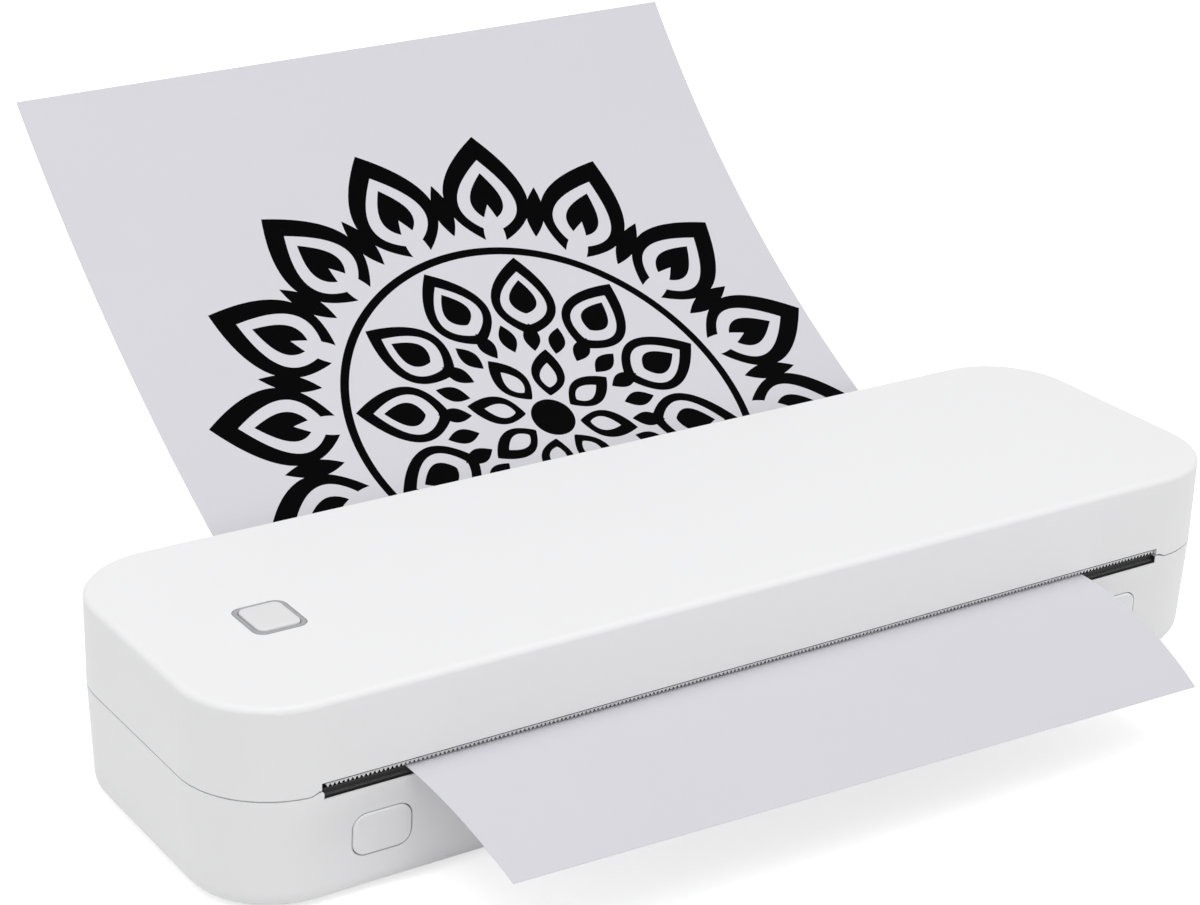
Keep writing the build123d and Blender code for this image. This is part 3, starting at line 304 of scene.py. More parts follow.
class SharedEffects:
    """The node groups that more than one finish uses. Scales are in waves or cells to the metre."""

    CLOUD_SCALE = 28.0
    BROAD_SCALE = 45.0
    PATCH_SCALE = 90.0
    PATCH_EDGES = (0.45, 0.75)
    FLAT_AGREEMENT, EDGE_AGREEMENT = 0.995, 0.85
    FINE_RELIEF, CELL_RELIEF, FLECK_SHARE = 0.7, 0.5, 0.5
    LINE_SHARE = 0.75

    def __init__(self) -> None:
        """Build every group once."""
        origin = (0.0, 0.0, 0.0)
        self.grain = Group(
            "moulded_grain", {"Position": origin, "Grain Size": 0.3, "Mottle": 0.02, "Sheen Spread": 0.04},
            {"Height": Kind.NUMBER, "Tint": Kind.NUMBER, "Roughness Shift": Kind.NUMBER}, self._grain)
        self.corner = Group("soft_corner", {"Radius": 0.0002}, {"Normal": Kind.VECTOR, "Edge": Kind.NUMBER},
                            self._corner)
        self.brushed = Group(
            "brushed_lines", {"Position": origin, "Direction": Rolling.ALONG_X.value, "Fineness": 60.0},
            {"Height": Kind.NUMBER, "Streak": Kind.NUMBER}, self._brushed)
        self.dust = Group("settled_dust", {"Position": origin, "Amount": 0.1}, {"Mask": Kind.NUMBER},
                          self._dust)
        self.petals = Group(
            "petal_ring", {"Radius": 0.0, "Angle": 0.0, "Count": 12.0, "Turn": 0.0, "Foot": 10.0, "Tip": 30.0,
                           "Fatness": 0.4, "Shoulder": 0.8}, {"Mask": Kind.NUMBER}, self._petals)

    def _grain(self, graph: Graph, given: Sockets) -> Sockets:
        """Fine moulded texture, with a faint cloud over it.

        Args:
            graph: the group's graph.
            given: the group's inputs.

        Returns:
            The group's outputs.
        """
        place = given["Position"]
        scale = graph.math("DIVIDE", 1 / MM, given["Grain Size"])
        fine = graph.noise(place, scale)
        height = graph.plus(graph.times(fine, self.FINE_RELIEF),
                            graph.times(graph.cells(place, scale), self.CELL_RELIEF))
        cloud = graph.minus(graph.noise(place, self.CLOUD_SCALE), 0.5)
        flecks = graph.minus(fine, 0.5)
        swing = graph.plus(cloud, graph.times(flecks, self.FLECK_SHARE))
        return {"Height": height, "Tint": graph.plus(1.0, graph.times(swing, given["Mottle"])),
                "Roughness Shift": graph.times(graph.plus(cloud, flecks), given["Sheen Spread"])}

    def _corner(self, graph: Graph, given: Sockets) -> Sockets:
        """A small radius shaded on to every hard edge, and a mask of where it is.

        Args:
            graph: the group's graph.
            given: the group's inputs.

        Returns:
            The group's outputs.
        """
        round_normal = graph.node("ShaderNodeBevel", {"Radius": given["Radius"]}, samples=4).outputs["Normal"]
        flat_normal = graph.node("ShaderNodeNewGeometry").outputs["True Normal"]
        agree = graph.vector("DOT_PRODUCT", round_normal, flat_normal).outputs["Value"]
        return {"Normal": round_normal, "Edge": graph.ramp(agree, self.FLAT_AGREEMENT, self.EDGE_AGREEMENT)}

    def _brushed(self, graph: Graph, given: Sockets) -> Sockets:
        """Fine lines in one direction, as rolling and grinding leave them.

        Args:
            graph: the group's graph.
            given: the group's inputs.

        Returns:
            The group's outputs.
        """
        drawn_out = graph.vector("MULTIPLY", given["Position"], given["Direction"]).outputs["Vector"]
        lines = graph.noise(drawn_out, given["Fineness"], detail=4.0, rough=0.65)
        broad = graph.noise(given["Position"], self.BROAD_SCALE, detail=2.0)
        return {"Height": lines, "Streak": graph.plus(graph.times(lines, self.LINE_SHARE),
                                                      graph.times(broad, 1 - self.LINE_SHARE))}

    def _dust(self, graph: Graph, given: Sockets) -> Sockets:
        """A thin uneven film on what faces up.

        Args:
            graph: the group's graph.
            given: the group's inputs.

        Returns:
            The group's outputs.
        """
        up = graph.split(graph.normal())[2]
        blotches = graph.noise(given["Position"], self.PATCH_SCALE, detail=5.0, rough=0.7)
        patches = graph.ramp(blotches, *self.PATCH_EDGES)
        film = graph.times(patches, graph.math("MAXIMUM", up, 0.0))
        return {"Mask": graph.times(film, given["Amount"])}

    def _petals(self, graph: Graph, given: Sockets) -> Sockets:
        """One ring of leaf shapes about a centre, as a mask with hard edges.

        Args:
            graph: the group's graph.
            given: the group's inputs.

        Returns:
            The group's outputs.
        """
        turns = graph.math("DIVIDE", given["Angle"], 2 * math.pi)
        place = graph.plus(graph.times(turns, given["Count"]), given["Turn"])
        across = graph.math("ABSOLUTE", graph.minus(graph.math("FRACT", place), 0.5))
        reach = graph.minus(given["Tip"], given["Foot"])
        along = graph.math("DIVIDE", graph.minus(given["Radius"], given["Foot"]), reach, clamp=True)
        bowed = graph.math("POWER", along, given["Shoulder"])
        width = graph.times(graph.math("SINE", graph.times(bowed, math.pi)), given["Fatness"])
        tiny = 0.001
        return {"Mask": graph.math("LESS_THAN", across, graph.minus(width, tiny))}


# ---------------------------------------------------------------------------------------------
# Finishes
# ---------------------------------------------------------------------------------------------
class Surface(Graph):
    """A material's graph, with its shader and the shared effects."""

    def __init__(self, material: Material, effects: SharedEffects) -> None:
        """Join a new shader to the material's output.

        Args:
            material: the material, with its nodes in use.
            effects: the shared node groups.
        """
        super().__init__(material.node_tree)
        self.effects = effects
        self.shader = self.node("ShaderNodeBsdfPrincipled")
        self.node("ShaderNodeOutputMaterial", {"Surface": self.shader.outputs["BSDF"]}, is_active_output=True)

    def coat(self, links: dict[str, object]) -> None:
        """Feed the shader's inputs."""
        self.feed(self.shader, links)

    def corner(self, radius_mm: float) -> Sockets:
        """Soften hard edges by a radius."""
        return self.effects.corner.place(self, {"Radius": radius_mm * MM})

    def relief(self, height: Socket, depth_mm: float, normal: Socket | None = None) -> Socket:
        """Make a bumped normal.

        Args:
            height: the relief, from 0 to 1.
            depth_mm: how deep 1 is.
            normal: the normal that the relief is laid over, or none for the surface's own.

        Returns:
            The normal.
        """
        bump = self.node("ShaderNodeBump", {"Height": height, "Distance": depth_mm * MM, "Strength": 1.0,
                                            "Normal": normal or self.normal()})
        return bump.outputs["Normal"]


@dataclass(frozen=True)
class Finish:
    """What every finish has: a name, a colour as the screen shows it, and a roughness."""

    name: str
    colour: Point3
    roughness: float = 0.5

    def build(self, effects: SharedEffects) -> Material:
        """Make the material.

        Args:
            effects: the shared node groups.

        Returns:
            The material.
        """
        material = bpy.data.materials.new("finish_" + self.name)
        material.use_nodes = True
        graph = Surface(material, effects)
        graph.coat({"Base Color": linear(self.colour), "Roughness": self.roughness})
        self.paint(graph)
        return material

    def paint(self, graph: Surface) -> None:
        """Feed the shader. Each kind of finish has its own way."""
        raise NotImplementedError


@dataclass(frozen=True)
class Moulding(Finish):
    """Injection-moulded plastic or rubber with a fine grain."""

    grain_mm: float = 0.3
    depth_mm: float = 0.004
    mottle: float = 0.02
    gloss: float = 0.5
    corner_mm: float = 0.15
    dust: float = 0.0
    dust_shade: Shade = (0.42, 0.41, 0.39, 1.0)
    # Painted edge light: how much of a flat tone is mixed in along hard edges, and that tone.
    edge_lift: float = 0.0
    edge_tone: float = 0.75
    under: float = 0.0
    under_spread: Point3 = (0.6, 0.55, 0.5)
    under_depth_mm: float = 0.8

    def paint(self, graph: Surface) -> None:
        """Lay grain, painted light along the edges and dust over the colour: a painted highlight where the
        edge tone is lighter than the colour, painted shade where it is darker.

        Args:
            graph: the material's graph.
        """
        place = graph.place()
        grain = graph.effects.grain.place(graph, {
            "Position": place, "Grain Size": self.grain_mm, "Mottle": self.mottle})
        corner = graph.corner(self.corner_mm)
        colour = graph.vector("SCALE", linear(self.colour)[:3])
        graph.feed(colour, {"Scale": grain["Tint"]})
        tone = colour.outputs["Vector"]
        # Painted light along hard edges: the edge mask mixes the colour toward a flat tone, lighter for a
        # painted highlight, darker for painted shade.
        if self.edge_lift:
            tone = graph.mix(graph.times(corner["Edge"], self.edge_lift), tone, scaled(WHITE, self.edge_tone))
        if self.dust:
            film = graph.effects.dust.place(graph, {"Position": place, "Amount": self.dust})
            tone = graph.mix(film["Mask"], tone, self.dust_shade)
        graph.coat({
            "Base Color": tone, "Roughness": graph.plus(grain["Roughness Shift"], self.roughness),
            "Specular IOR Level": self.gloss, "Subsurface Weight": self.under,
            "Subsurface Radius": self.under_spread, "Subsurface Scale": self.under_depth_mm * MM,
            "Normal": graph.relief(grain["Height"], self.depth_mm, corner["Normal"])})


@dataclass(frozen=True)
class Metal(Finish):
    """Bare or plated metal with rolling lines and bright worn edges."""

    lines: Rolling = Rolling.ALONG_X
    spread: float = 0.18
    depth_mm: float = 0.002
    corner_mm: float = 0.12
    streaks: Point2 = (0.78, 1.12)
    stain_scale: float = 160.0
    stain_edges: Point2 = (0.52, 0.7)
    tarnish: float = 0.0
    tarnish_shade: Shade = (0.20, 0.15, 0.10, 1.0)
    worn: float = 0.5
    worn_shade: Shade = (0.86, 0.87, 0.88, 1.0)

    def paint(self, graph: Surface) -> None:
        """Lay rolling lines, tarnish and worn edges over the metal.

        Args:
            graph: the material's graph.
        """
        place = graph.place()
        brushed = graph.effects.brushed.place(graph, {"Position": place, "Direction": self.lines.value})
        corner = graph.corner(self.corner_mm)
        dark, light = (scaled(linear(self.colour), factor) for factor in self.streaks)
        stains = graph.noise(place, self.stain_scale, detail=6.0, rough=0.7)
        stained = graph.ramp(stains, *self.stain_edges, out_high=self.tarnish)
        tone = graph.mix(stained, graph.mix(brushed["Streak"], dark, light), self.tarnish_shade)
        swing = graph.times(graph.minus(brushed["Streak"], 0.5), self.spread)
        graph.coat({
            "Base Color": graph.mix(graph.times(corner["Edge"], self.worn), tone, self.worn_shade),
            "Roughness": graph.plus(swing, self.roughness), "Metallic": 1.0,
            "Normal": graph.relief(brushed["Height"], self.depth_mm, corner["Normal"])})


@dataclass(frozen=True)
class CircuitBoard(Finish):
    """Solder mask over copper tracks, with tinned holes."""

    copper: Point3 = (58, 128, 84)
    tin: Point3 = (190, 190, 186)
    shade: Shade = (0.01, 0.05, 0.03, 1.0)
    cloud_scale: float = 70.0
    cloud_share: float = 0.35
    track_pitch_mm: float = 1.6
    track_rise: float = 0.6
    hole_scale: float = 260.0
    hole_size: float = 0.16
    depth_mm: float = 0.03
    corner_mm: float = 0.1

    def paint(self, graph: Surface) -> None:
        """Draw the tracks and the holes.

        Args:
            graph: the material's graph.
        """
        place = graph.place()
        bricks = graph.node("ShaderNodeTexBrick", {
            "Vector": place, "Scale": 1 / (self.track_pitch_mm * MM), "Mortar Size": 0.12,
            "Mortar Smooth": 0.1, "Brick Width": 7.0, "Row Height": 0.9}, offset=0.37, squash=0.6)
        tracks = bricks.outputs["Fac"]
        holes = graph.math("LESS_THAN", graph.cells(place, self.hole_scale), self.hole_size)
        mask = graph.mix(tracks, linear(self.colour), linear(self.copper))
        clouds = graph.times(graph.noise(place, self.cloud_scale), self.cloud_share)
        toned = graph.mix(clouds, mask, self.shade)
        height = graph.plus(graph.times(tracks, self.track_rise), holes)
        graph.coat({"Base Color": graph.mix(holes, toned, linear(self.tin)), "Metallic": holes,
                    "Normal": graph.relief(height, self.depth_mm, graph.corner(self.corner_mm)["Normal"])})


@dataclass(frozen=True)
class FlatCable(Finish):
    """Clear-jacketed flat cable: bright conductors side by side under a film."""

    jacket: Point3 = (214, 214, 206)
    worn_shade: Shade = (0.5, 0.5, 0.48, 1.0)
    worn_scale: float = 220.0
    worn_share: float = 0.25
    pitch_mm: float = 1.0
    wire_edges: Point2 = (-0.2, 0.15)
    depth_mm: float = 0.05
    film: float = 0.5
    film_roughness: float = 0.15

    def paint(self, graph: Surface) -> None:
        """Draw the conductors and the film.

        Args:
            graph: the material's graph.
        """
        place = graph.place()
        across = graph.split(place)[0]
        wave = graph.math("SINE", graph.times(across, 2 * math.pi / (self.pitch_mm * MM)))
        wire = graph.ramp(wave, *self.wire_edges)
        tone = graph.mix(wire, linear(self.jacket), linear(self.colour))
        worn = graph.times(graph.noise(place, self.worn_scale), self.worn_share)
        graph.coat({"Base Color": graph.mix(worn, tone, self.worn_shade), "Coat Weight": self.film,
                    "Coat Roughness": self.film_roughness, "Normal": graph.relief(wire, self.depth_mm)})


@dataclass(frozen=True)
class Braid(Finish):
    """A woven sleeve over wires."""

    light: Point3 = (92, 92, 94)
    strand_mm: float = 0.55
    strand_edges: Point2 = (-0.6, 0.6)
    fuzz_scale: float = 2400.0
    depth_mm: float = 0.1

    def paint(self, graph: Surface) -> None:
        """Draw the weave.

        Args:
            graph: the material's graph.
        """
        place = graph.place()
        x, y, z = graph.split(place)
        steep = 2 * math.pi / (self.strand_mm * MM)
        rise = graph.plus(y, z)
        one_way, other_way = (graph.math("SINE", graph.times(slant, steep))
                              for slant in (graph.plus(x, rise), graph.minus(x, rise)))
        weave = graph.ramp(graph.times(one_way, other_way), *self.strand_edges)
        share = graph.times(weave, graph.noise(place, self.fuzz_scale))
        graph.coat({"Base Color": graph.mix(share, linear(self.colour), linear(self.light)),
                    "Normal": graph.relief(weave, self.depth_mm)})


@dataclass(frozen=True)
class HeaterGlass(Finish):
    """Glazed ceramic with the dark heater line and its fine gold leads."""

    line_y_mm: float = -30.0
    line_half_mm: float = 0.35
    line_shade: Shade = (0.03, 0.028, 0.026, 1.0)
    lead_reach_mm: float = 3.0
    lead_wave: float = 9000.0
    lead_share: float = 0.75
    gold: Point3 = (176, 142, 84)
    cloud_shade: Shade = (0.35, 0.33, 0.28, 1.0)
    cloud_scale: float = 120.0
    cloud_share: float = 0.12
    depth_mm: float = 0.01
    glaze: float = 0.7
    glaze_roughness: float = 0.08

    def paint(self, graph: Surface) -> None:
        """Draw the heater line and the leads under the glaze.

        Args:
            graph: the material's graph.
        """
        place = graph.place()
        x, y, _ = graph.split(place)
        off = graph.math("ABSOLUTE", graph.minus(y, self.line_y_mm * MM))
        line = graph.math("LESS_THAN", off, self.line_half_mm * MM)
        comb = graph.math("GREATER_THAN", graph.math("SINE", graph.times(x, self.lead_wave)), 0.0)
        leads = graph.times(comb, graph.math("LESS_THAN", off, self.lead_reach_mm * MM))
        clouds = graph.times(graph.noise(place, self.cloud_scale), self.cloud_share)
        body = graph.mix(clouds, linear(self.colour), self.cloud_shade)
        leaded = graph.mix(graph.times(leads, self.lead_share), body, linear(self.gold))
        graph.coat({"Base Color": graph.mix(line, leaded, self.line_shade), "Coat Weight": self.glaze,
                    "Coat Roughness": self.glaze_roughness, "Normal": graph.relief(leads, self.depth_mm)})


@dataclass(frozen=True)
class Leaf:
    """One ring of the printed ornament, in millimetres on the sheet; paper is for a ring left white."""

    count: int
    foot: float
    tip: float
    fatness: float
    turn: float = 0.0
    shoulder: float = 0.8
    paper: bool = False


@dataclass(frozen=True)
class PrintedPaper(Finish):
    """Coated thermal paper, with an ornament of leaves in rings printed black on part of its upper face."""

    UV_MAP = "sheet"
    UPPER_FACE = "upper_face"

    ink: Point3 = (3, 3, 4)
    ink_polish: float = 0.08
    fleck_shade: Shade = (0.15, 0.15, 0.16, 1.0)
    fleck_edges: Point2 = (0.62, 0.72)
    fleck_share: float = 0.06
    shades: Point2 = (0.975, 1.02)
    gloss: float = 0.015
    fibre_scale: float = 1500.0
    fibre_stretch: Point3 = (1.0, 0.45, 1.0)
    fibre_depth_mm: float = 0.006
    cloud_scale: float = 24.0
    centre_mm: Point2 = (6.0, 132.0)
    bands: tuple[Point2, ...] = ((0.0, 6.5), (58.5, 61.0))
    leaves: tuple[Leaf, ...] = (
        Leaf(16, 62.0, 99.5, 0.44, 0.0, 0.75),
        Leaf(16, 66.5, 91.5, 0.31, 0.0, 0.70, True),
        Leaf(16, 70.5, 87.0, 0.17, 0.0, 0.70),
        Leaf(32, 56.0, 76.0, 0.26, 0.5, 0.8, True),
        Leaf(16, 66.0, 84.0, 0.10, 0.5, 0.9),
        Leaf(12, 30.0, 57.5, 0.46, 0.0, 0.7),
        Leaf(12, 33.5, 52.5, 0.33, 0.0, 0.7, True),
        Leaf(12, 37.5, 49.5, 0.19, 0.0, 0.7),
        Leaf(24, 24.0, 34.0, 0.34, 0.5, 0.9),
        Leaf(8, 8.0, 25.0, 0.42, 0.0, 0.7),
        Leaf(8, 11.0, 20.0, 0.22, 0.0, 0.7, True),
    )

    def ornament(self, graph: Surface, place: Socket) -> Socket:
        """Draw the ornament.

        Args:
            graph: the material's graph.
            place: the place on the flat sheet from the ornament's centre, in millimetres.

        Returns:
            A mask that is 1 where the paper is black.
        """
        x, y, _ = graph.split(place)
        radius = graph.vector("LENGTH", place).outputs["Value"]
        angle = graph.plus(graph.math("ARCTAN2", y, x), math.pi)
        black: object = 0.0
        for leaf in self.leaves:
            ring = graph.effects.petals.place(graph, {
                "Radius": radius, "Angle": angle, "Count": float(leaf.count), "Turn": leaf.turn,
                "Foot": leaf.foot, "Tip": leaf.tip, "Fatness": leaf.fatness, "Shoulder": leaf.shoulder})
            black = graph.math("SUBTRACT" if leaf.paper else "ADD", black, ring["Mask"], clamp=True)
        for inner, outer in self.bands:
            band = graph.times(graph.math("GREATER_THAN", radius, inner),
                               graph.math("LESS_THAN", radius, outer))
            black = graph.math("ADD", black, band, clamp=True)
        return black

    def paint(self, graph: Surface) -> None:
        """Lay fibres over the paper, and print on the upper face.

        Args:
            graph: the material's graph.
        """
        flat = graph.node("ShaderNodeUVMap", uv_map=self.UV_MAP).outputs["UV"]
        centred = graph.node("ShaderNodeMapping", {"Vector": flat, "Scale": (1 / MM,) * 3,
                                                   "Location": (-self.centre_mm[0], -self.centre_mm[1], 0.0)})
        upper = graph.node("ShaderNodeAttribute", attribute_name=self.UPPER_FACE).outputs["Fac"]
        printed = graph.times(self.ornament(graph, centred.outputs["Vector"]),
                              graph.math("GREATER_THAN", upper, 0.5))
        stretched = graph.vector("MULTIPLY", flat, self.fibre_stretch).outputs["Vector"]
        fibre = graph.noise(stretched, self.fibre_scale, detail=6.0, rough=0.7)
        cloud = graph.noise(flat, self.cloud_scale)
        dark, light = (scaled(linear(self.colour), factor) for factor in self.shades)
        paper = graph.mix(graph.plus(graph.times(fibre, 0.5), graph.times(cloud, 0.5)), dark, light)
        flecks = graph.ramp(fibre, *self.fleck_edges, out_high=self.fleck_share)
        inked = graph.mix(flecks, linear(self.ink), self.fleck_shade)
        graph.coat({
            "Base Color": graph.mix(printed, paper, inked), "Specular IOR Level": self.gloss,
            "Roughness": graph.ramp(printed, 0.0, 1.0, self.roughness, self.roughness - self.ink_polish),
            "Normal": graph.relief(fibre, self.fibre_depth_mm)})


class Paintbox:
    """Every finish on the printer, made once and looked up by the record's material slot."""

    # The exit guide has its own finish, with a painted highlight line along its edges.
    OWN_FINISH = {"exit_guide": "guide_plastic"}
    FINISHES: tuple[Finish, ...] = (
        Moulding("white_plastic", (238, 238, 239), 0.52, grain_mm=0.28, depth_mm=0.003, mottle=0.012,
                 gloss=0.32, corner_mm=0.22, under=0.03),
        Moulding("white_gloss", (224, 224, 225), 0.42, grain_mm=0.35, depth_mm=0.002, mottle=0.01, gloss=0.35,
                 corner_mm=0.2, under=0.04),
        # A dark edge tone paints shade along the power surround's edges.
        Moulding("ring_plastic", (168, 168, 170), 0.46, grain_mm=0.25, depth_mm=0.003, mottle=0.03, gloss=0.3,
                 corner_mm=0.2, edge_lift=0.8, edge_tone=0.12, under=0.02),
        # The light edge tones on the dark finishes here paint highlights along their hard edges.
        Moulding("black_plastic", (38, 38, 39), 0.55, grain_mm=0.22, depth_mm=0.008, mottle=0.12, gloss=0.2,
                 corner_mm=0.12, edge_lift=0.06),
        # A strong light edge tone paints a highlight line along the exit guide's edges.
        Moulding("guide_plastic", (38, 38, 39), 0.55, grain_mm=0.22, depth_mm=0.008, mottle=0.12, gloss=0.2,
                 corner_mm=0.15, edge_lift=0.45),
        Moulding("grey_plastic", (72, 74, 78), 0.58, grain_mm=0.35, depth_mm=0.01, mottle=0.08, gloss=0.35,
                 corner_mm=0.2, dust=0.12, edge_lift=0.08),
        Moulding("rubber", (30, 30, 32), 0.82, grain_mm=0.18, depth_mm=0.01, mottle=0.15, gloss=0.25,
                 corner_mm=0.2, dust=0.2, edge_lift=0.05),
        Moulding("acetal", (226, 223, 212), 0.42, grain_mm=0.5, depth_mm=0.003, mottle=0.03, gloss=0.45,
                 corner_mm=0.12, under=0.15),
        Moulding("component", (34, 35, 37), 0.6, grain_mm=0.14, depth_mm=0.008, mottle=0.15, gloss=0.4,
                 corner_mm=0.12, edge_lift=0.12),
        Moulding("cell_wrap", (46, 92, 126), 0.3, grain_mm=1.6, depth_mm=0.02, mottle=0.06, gloss=0.5,
                 corner_mm=0.3),
        Moulding("motor_case", (128, 130, 134), 0.4, grain_mm=0.3, depth_mm=0.004, mottle=0.05, gloss=0.5,
                 corner_mm=0.3, edge_lift=0.3),
        Metal("steel", (176, 178, 181), 0.34, tarnish=0.05),
        Metal("zinc_screw", (158, 160, 163), 0.38, lines=Rolling.NONE, tarnish=0.12),
        Metal("spring_steel", (150, 151, 154), 0.3, lines=Rolling.NONE),
        Metal("aluminium", (196, 198, 201), 0.36, spread=0.25, depth_mm=0.006),
        HeaterGlass("ceramic", (216, 211, 198), 0.2),
        CircuitBoard("board", (22, 84, 52), 0.35),
        FlatCable("ribbon", (176, 172, 160), 0.32),
        Braid("cable", (24, 24, 25), 0.75),
        PrintedPaper("paper", (213, 212, 218), 0.62),
    )

    def __init__(self) -> None:
        """Make the shared effects and every finish."""
        effects = SharedEffects()
        self.materials = {finish.name: finish.build(effects) for finish in self.FINISHES}

    def __getitem__(self, name: str) -> Material:
        """The material of a slot."""
        return self.materials[name]

    def dress_nodes(self) -> None:
        """Give every CAD node the finish of its slot, or its own where it has one."""
        slots = {entry["node"]: entry["material_slot"] for entry in frame["record"]["subparts"]}
        for name, node in frame["nodes"].items():
            node.data.materials.clear()
            node.data.materials.append(self.materials[self.OWN_FINISH.get(name, slots[name])])
        log.info("dressed %d nodes", len(slots))


# ---------------------------------------------------------------------------------------------
# Mesh building
# ---------------------------------------------------------------------------------------------
def arc(centre: Point2, radius: float, first: float, last: float, steps: int) -> list[Point2]:
    """Lay points along an arc.

    Args:
        centre: the arc's centre.
        radius: its radius.
        first: the start angle in degrees.
        last: the end angle in degrees.
        steps: how many pieces the arc is cut into.

    Returns:
        The points, with both ends.
    """
    turns = [math.radians(first + (last - first) * index / steps) for index in range(steps + 1)]
    return [(centre[0] + radius * math.cos(turn), centre[1] + radius * math.sin(turn)) for turn in turns]


def rounded_outline(width: float, height: float, corner: float, steps: int) -> list[Point2]:
    """Draw a rounded rectangle about the origin.

    Args:
        width: its size along the first axis.
        height: its size along the second axis.
        corner: the radius of its corners.
        steps: how many pieces each corner is cut into.

    Returns:
        The outline's points.
    """
    across, along = width / 2 - corner, height / 2 - corner
    centres = ((across, along), (-across, along), (-across, -along), (across, -along))
    return [point for index, centre in enumerate(centres)
            for point in arc(centre, corner, 90 * index, 90 * index + 90, steps)]


def rounded_rim(size: Point2, corner: float, top: float, radius: float, steps: int) -> list[Tier]:
    """Round a button's rim, from its side up to its face.

    Args:
        size: the button's width and height.
        corner: the radius of its corners.
        top: the level of its face.
        radius: the radius of the rim.
        steps: how many pieces the rim is cut into.

    Returns:
        The rim's tiers.
    """
    tiers = []
    for step in range(steps + 1):
        turn = math.radians(90 * step / steps)
        inset = radius * (1 - math.cos(turn))
        drop = radius * (1 - math.sin(turn))
        tiers.append((size[0] - 2 * inset, size[1] - 2 * inset, corner - inset, top - drop))
    return tiers


def linked(name: str, data: bpy.types.ID) -> Object:
    """Put an object into the scene, at the origin.

    Args:
        name: the object's name.
        data: its mesh, light or camera.

    Returns:
        The object.
    """
    made = bpy.data.objects.new(name, data)
    bpy.context.scene.collection.objects.link(made)
    return made


class Shape:
    """A mesh in the making, in millimetres."""

    def __init__(self) -> None:
        """Start empty."""
        self.mesh = bmesh.new()

    def ring(self, points: Iterable[Point3]) -> Ring:
        """Add a ring of points."""
        return [self.mesh.verts.new(point) for point in points]

    def skin(self, rings: Sequence[Ring], joined: bool = False, capped: bool = True) -> None:
        """Cover a row of rings with faces.

        Args:
            rings: rings with the same count of points.
            joined: whether the last ring joins the first, as in a hoop.
            capped: whether the two end rings are filled, where the row isn't joined.
        """
        count = len(rings[0])
        pairs = list(zip(rings, rings[1:])) + ([(rings[-1], rings[0])] if joined else [])
        for lower, upper in pairs:
            for index in range(count):
                after = (index + 1) % count
                self.mesh.faces.new((lower[index], lower[after], upper[after], upper[index]))
        if capped and not joined:
            self.mesh.faces.new(rings[0][::-1])
            self.mesh.faces.new(rings[-1])

    def prism(self, outline: Sequence[Point2], ends: Point2) -> None:
        """Run an outline of (y, z) points along x, between two ends."""
        self.skin([self.ring((x, *point) for point in outline) for x in ends])

    def tiers(self, tiers: Sequence[Tier], matrix: Matrix, steps: int, joined: bool = False) -> None:
        """Stack rounded rectangles.

        Args:
            tiers: the width, height, corner radius and level of each.
            matrix: where the stack's own origin and axes stand.
            steps: how many faces each corner has.
            joined: whether the last joins the first, as in a frame with a hole.
        """
        rings = []
        for width, height, corner, level in tiers:
            outline = rounded_outline(width, height, corner, steps)
            rings.append(self.ring(matrix @ Vector((*point, level)) for point in outline))
        self.skin(rings, joined=joined)

    def lathe(self, profile: Sequence[Point2], matrix: Matrix, steps: int = 24) -> list[Ring]:
        """Turn a profile about the matrix's own z axis.

        Args:
            profile: the (radius, height) points; radius 0 closes a pole.
            matrix: where the profile's origin and axis stand.
            steps: how many faces go round.

        Returns:
            The ring of points at each point of the profile.
        """
        turns = [2 * math.pi * index / steps for index in range(steps)]
        rings = []
        for radius, height in profile:
            places = [(radius * math.cos(turn), radius * math.sin(turn), height) for turn in turns]
            rings.append(self.ring(matrix @ Vector(place) for place in (places if radius else places[:1])))
        for lower, upper in zip(rings, rings[1:]):
            for index in range(steps):
                after = (index + 1) % steps
                corners = [lower[0]] if len(lower) == 1 else [lower[index], lower[after]]
                corners += [upper[0]] if len(upper) == 1 else [upper[after], upper[index]]
                self.mesh.faces.new(corners)
        return rings

    def sweep(self, path: Sequence[Vector], section: Sequence[Point2], side: Vector,
              rolling: bool = False) -> None:
        """Carry a section along a path.

        Args:
            path: the points that it follows.
            section: points across (along side) and up.
            side: a direction that the section's first axis keeps as near as it can.
            rolling: whether that direction is taken anew from each point, as on a path that winds round.
        """
        rings = []
        for index, point in enumerate(path):
            ahead = (path[min(index + 1, len(path) - 1)] - path[max(index - 1, 0)]).normalized()
            across = (side - ahead * side.dot(ahead)).normalized()
            lift = across.cross(ahead)
            rings.append(self.ring(point + across * a + lift * b for a, b in section))
            if rolling:
                side = across
        self.skin(rings)

    def piece(self, name: str, material: Material) -> Object:
        """Turn the shape into an object in metres, with its place in its mesh.

        Args:
            name: the piece's name.
            material: its finish.

        Returns:
            The object.
        """
        bmesh.ops.recalc_face_normals(self.mesh, faces=self.mesh.faces[:])
        for face in self.mesh.faces:
            face.smooth = True
        for edge in self.mesh.edges:
            edge.smooth = edge.is_manifold and edge.calc_face_angle(0.0) < SMOOTH_LIMIT
        bmesh.ops.scale(self.mesh, vec=(MM, MM, MM), verts=self.mesh.verts[:])
        data = bpy.data.meshes.new(name)
        self.mesh.to_mesh(data)
        self.mesh.free()
        data.materials.append(material)
        return linked(name, data)


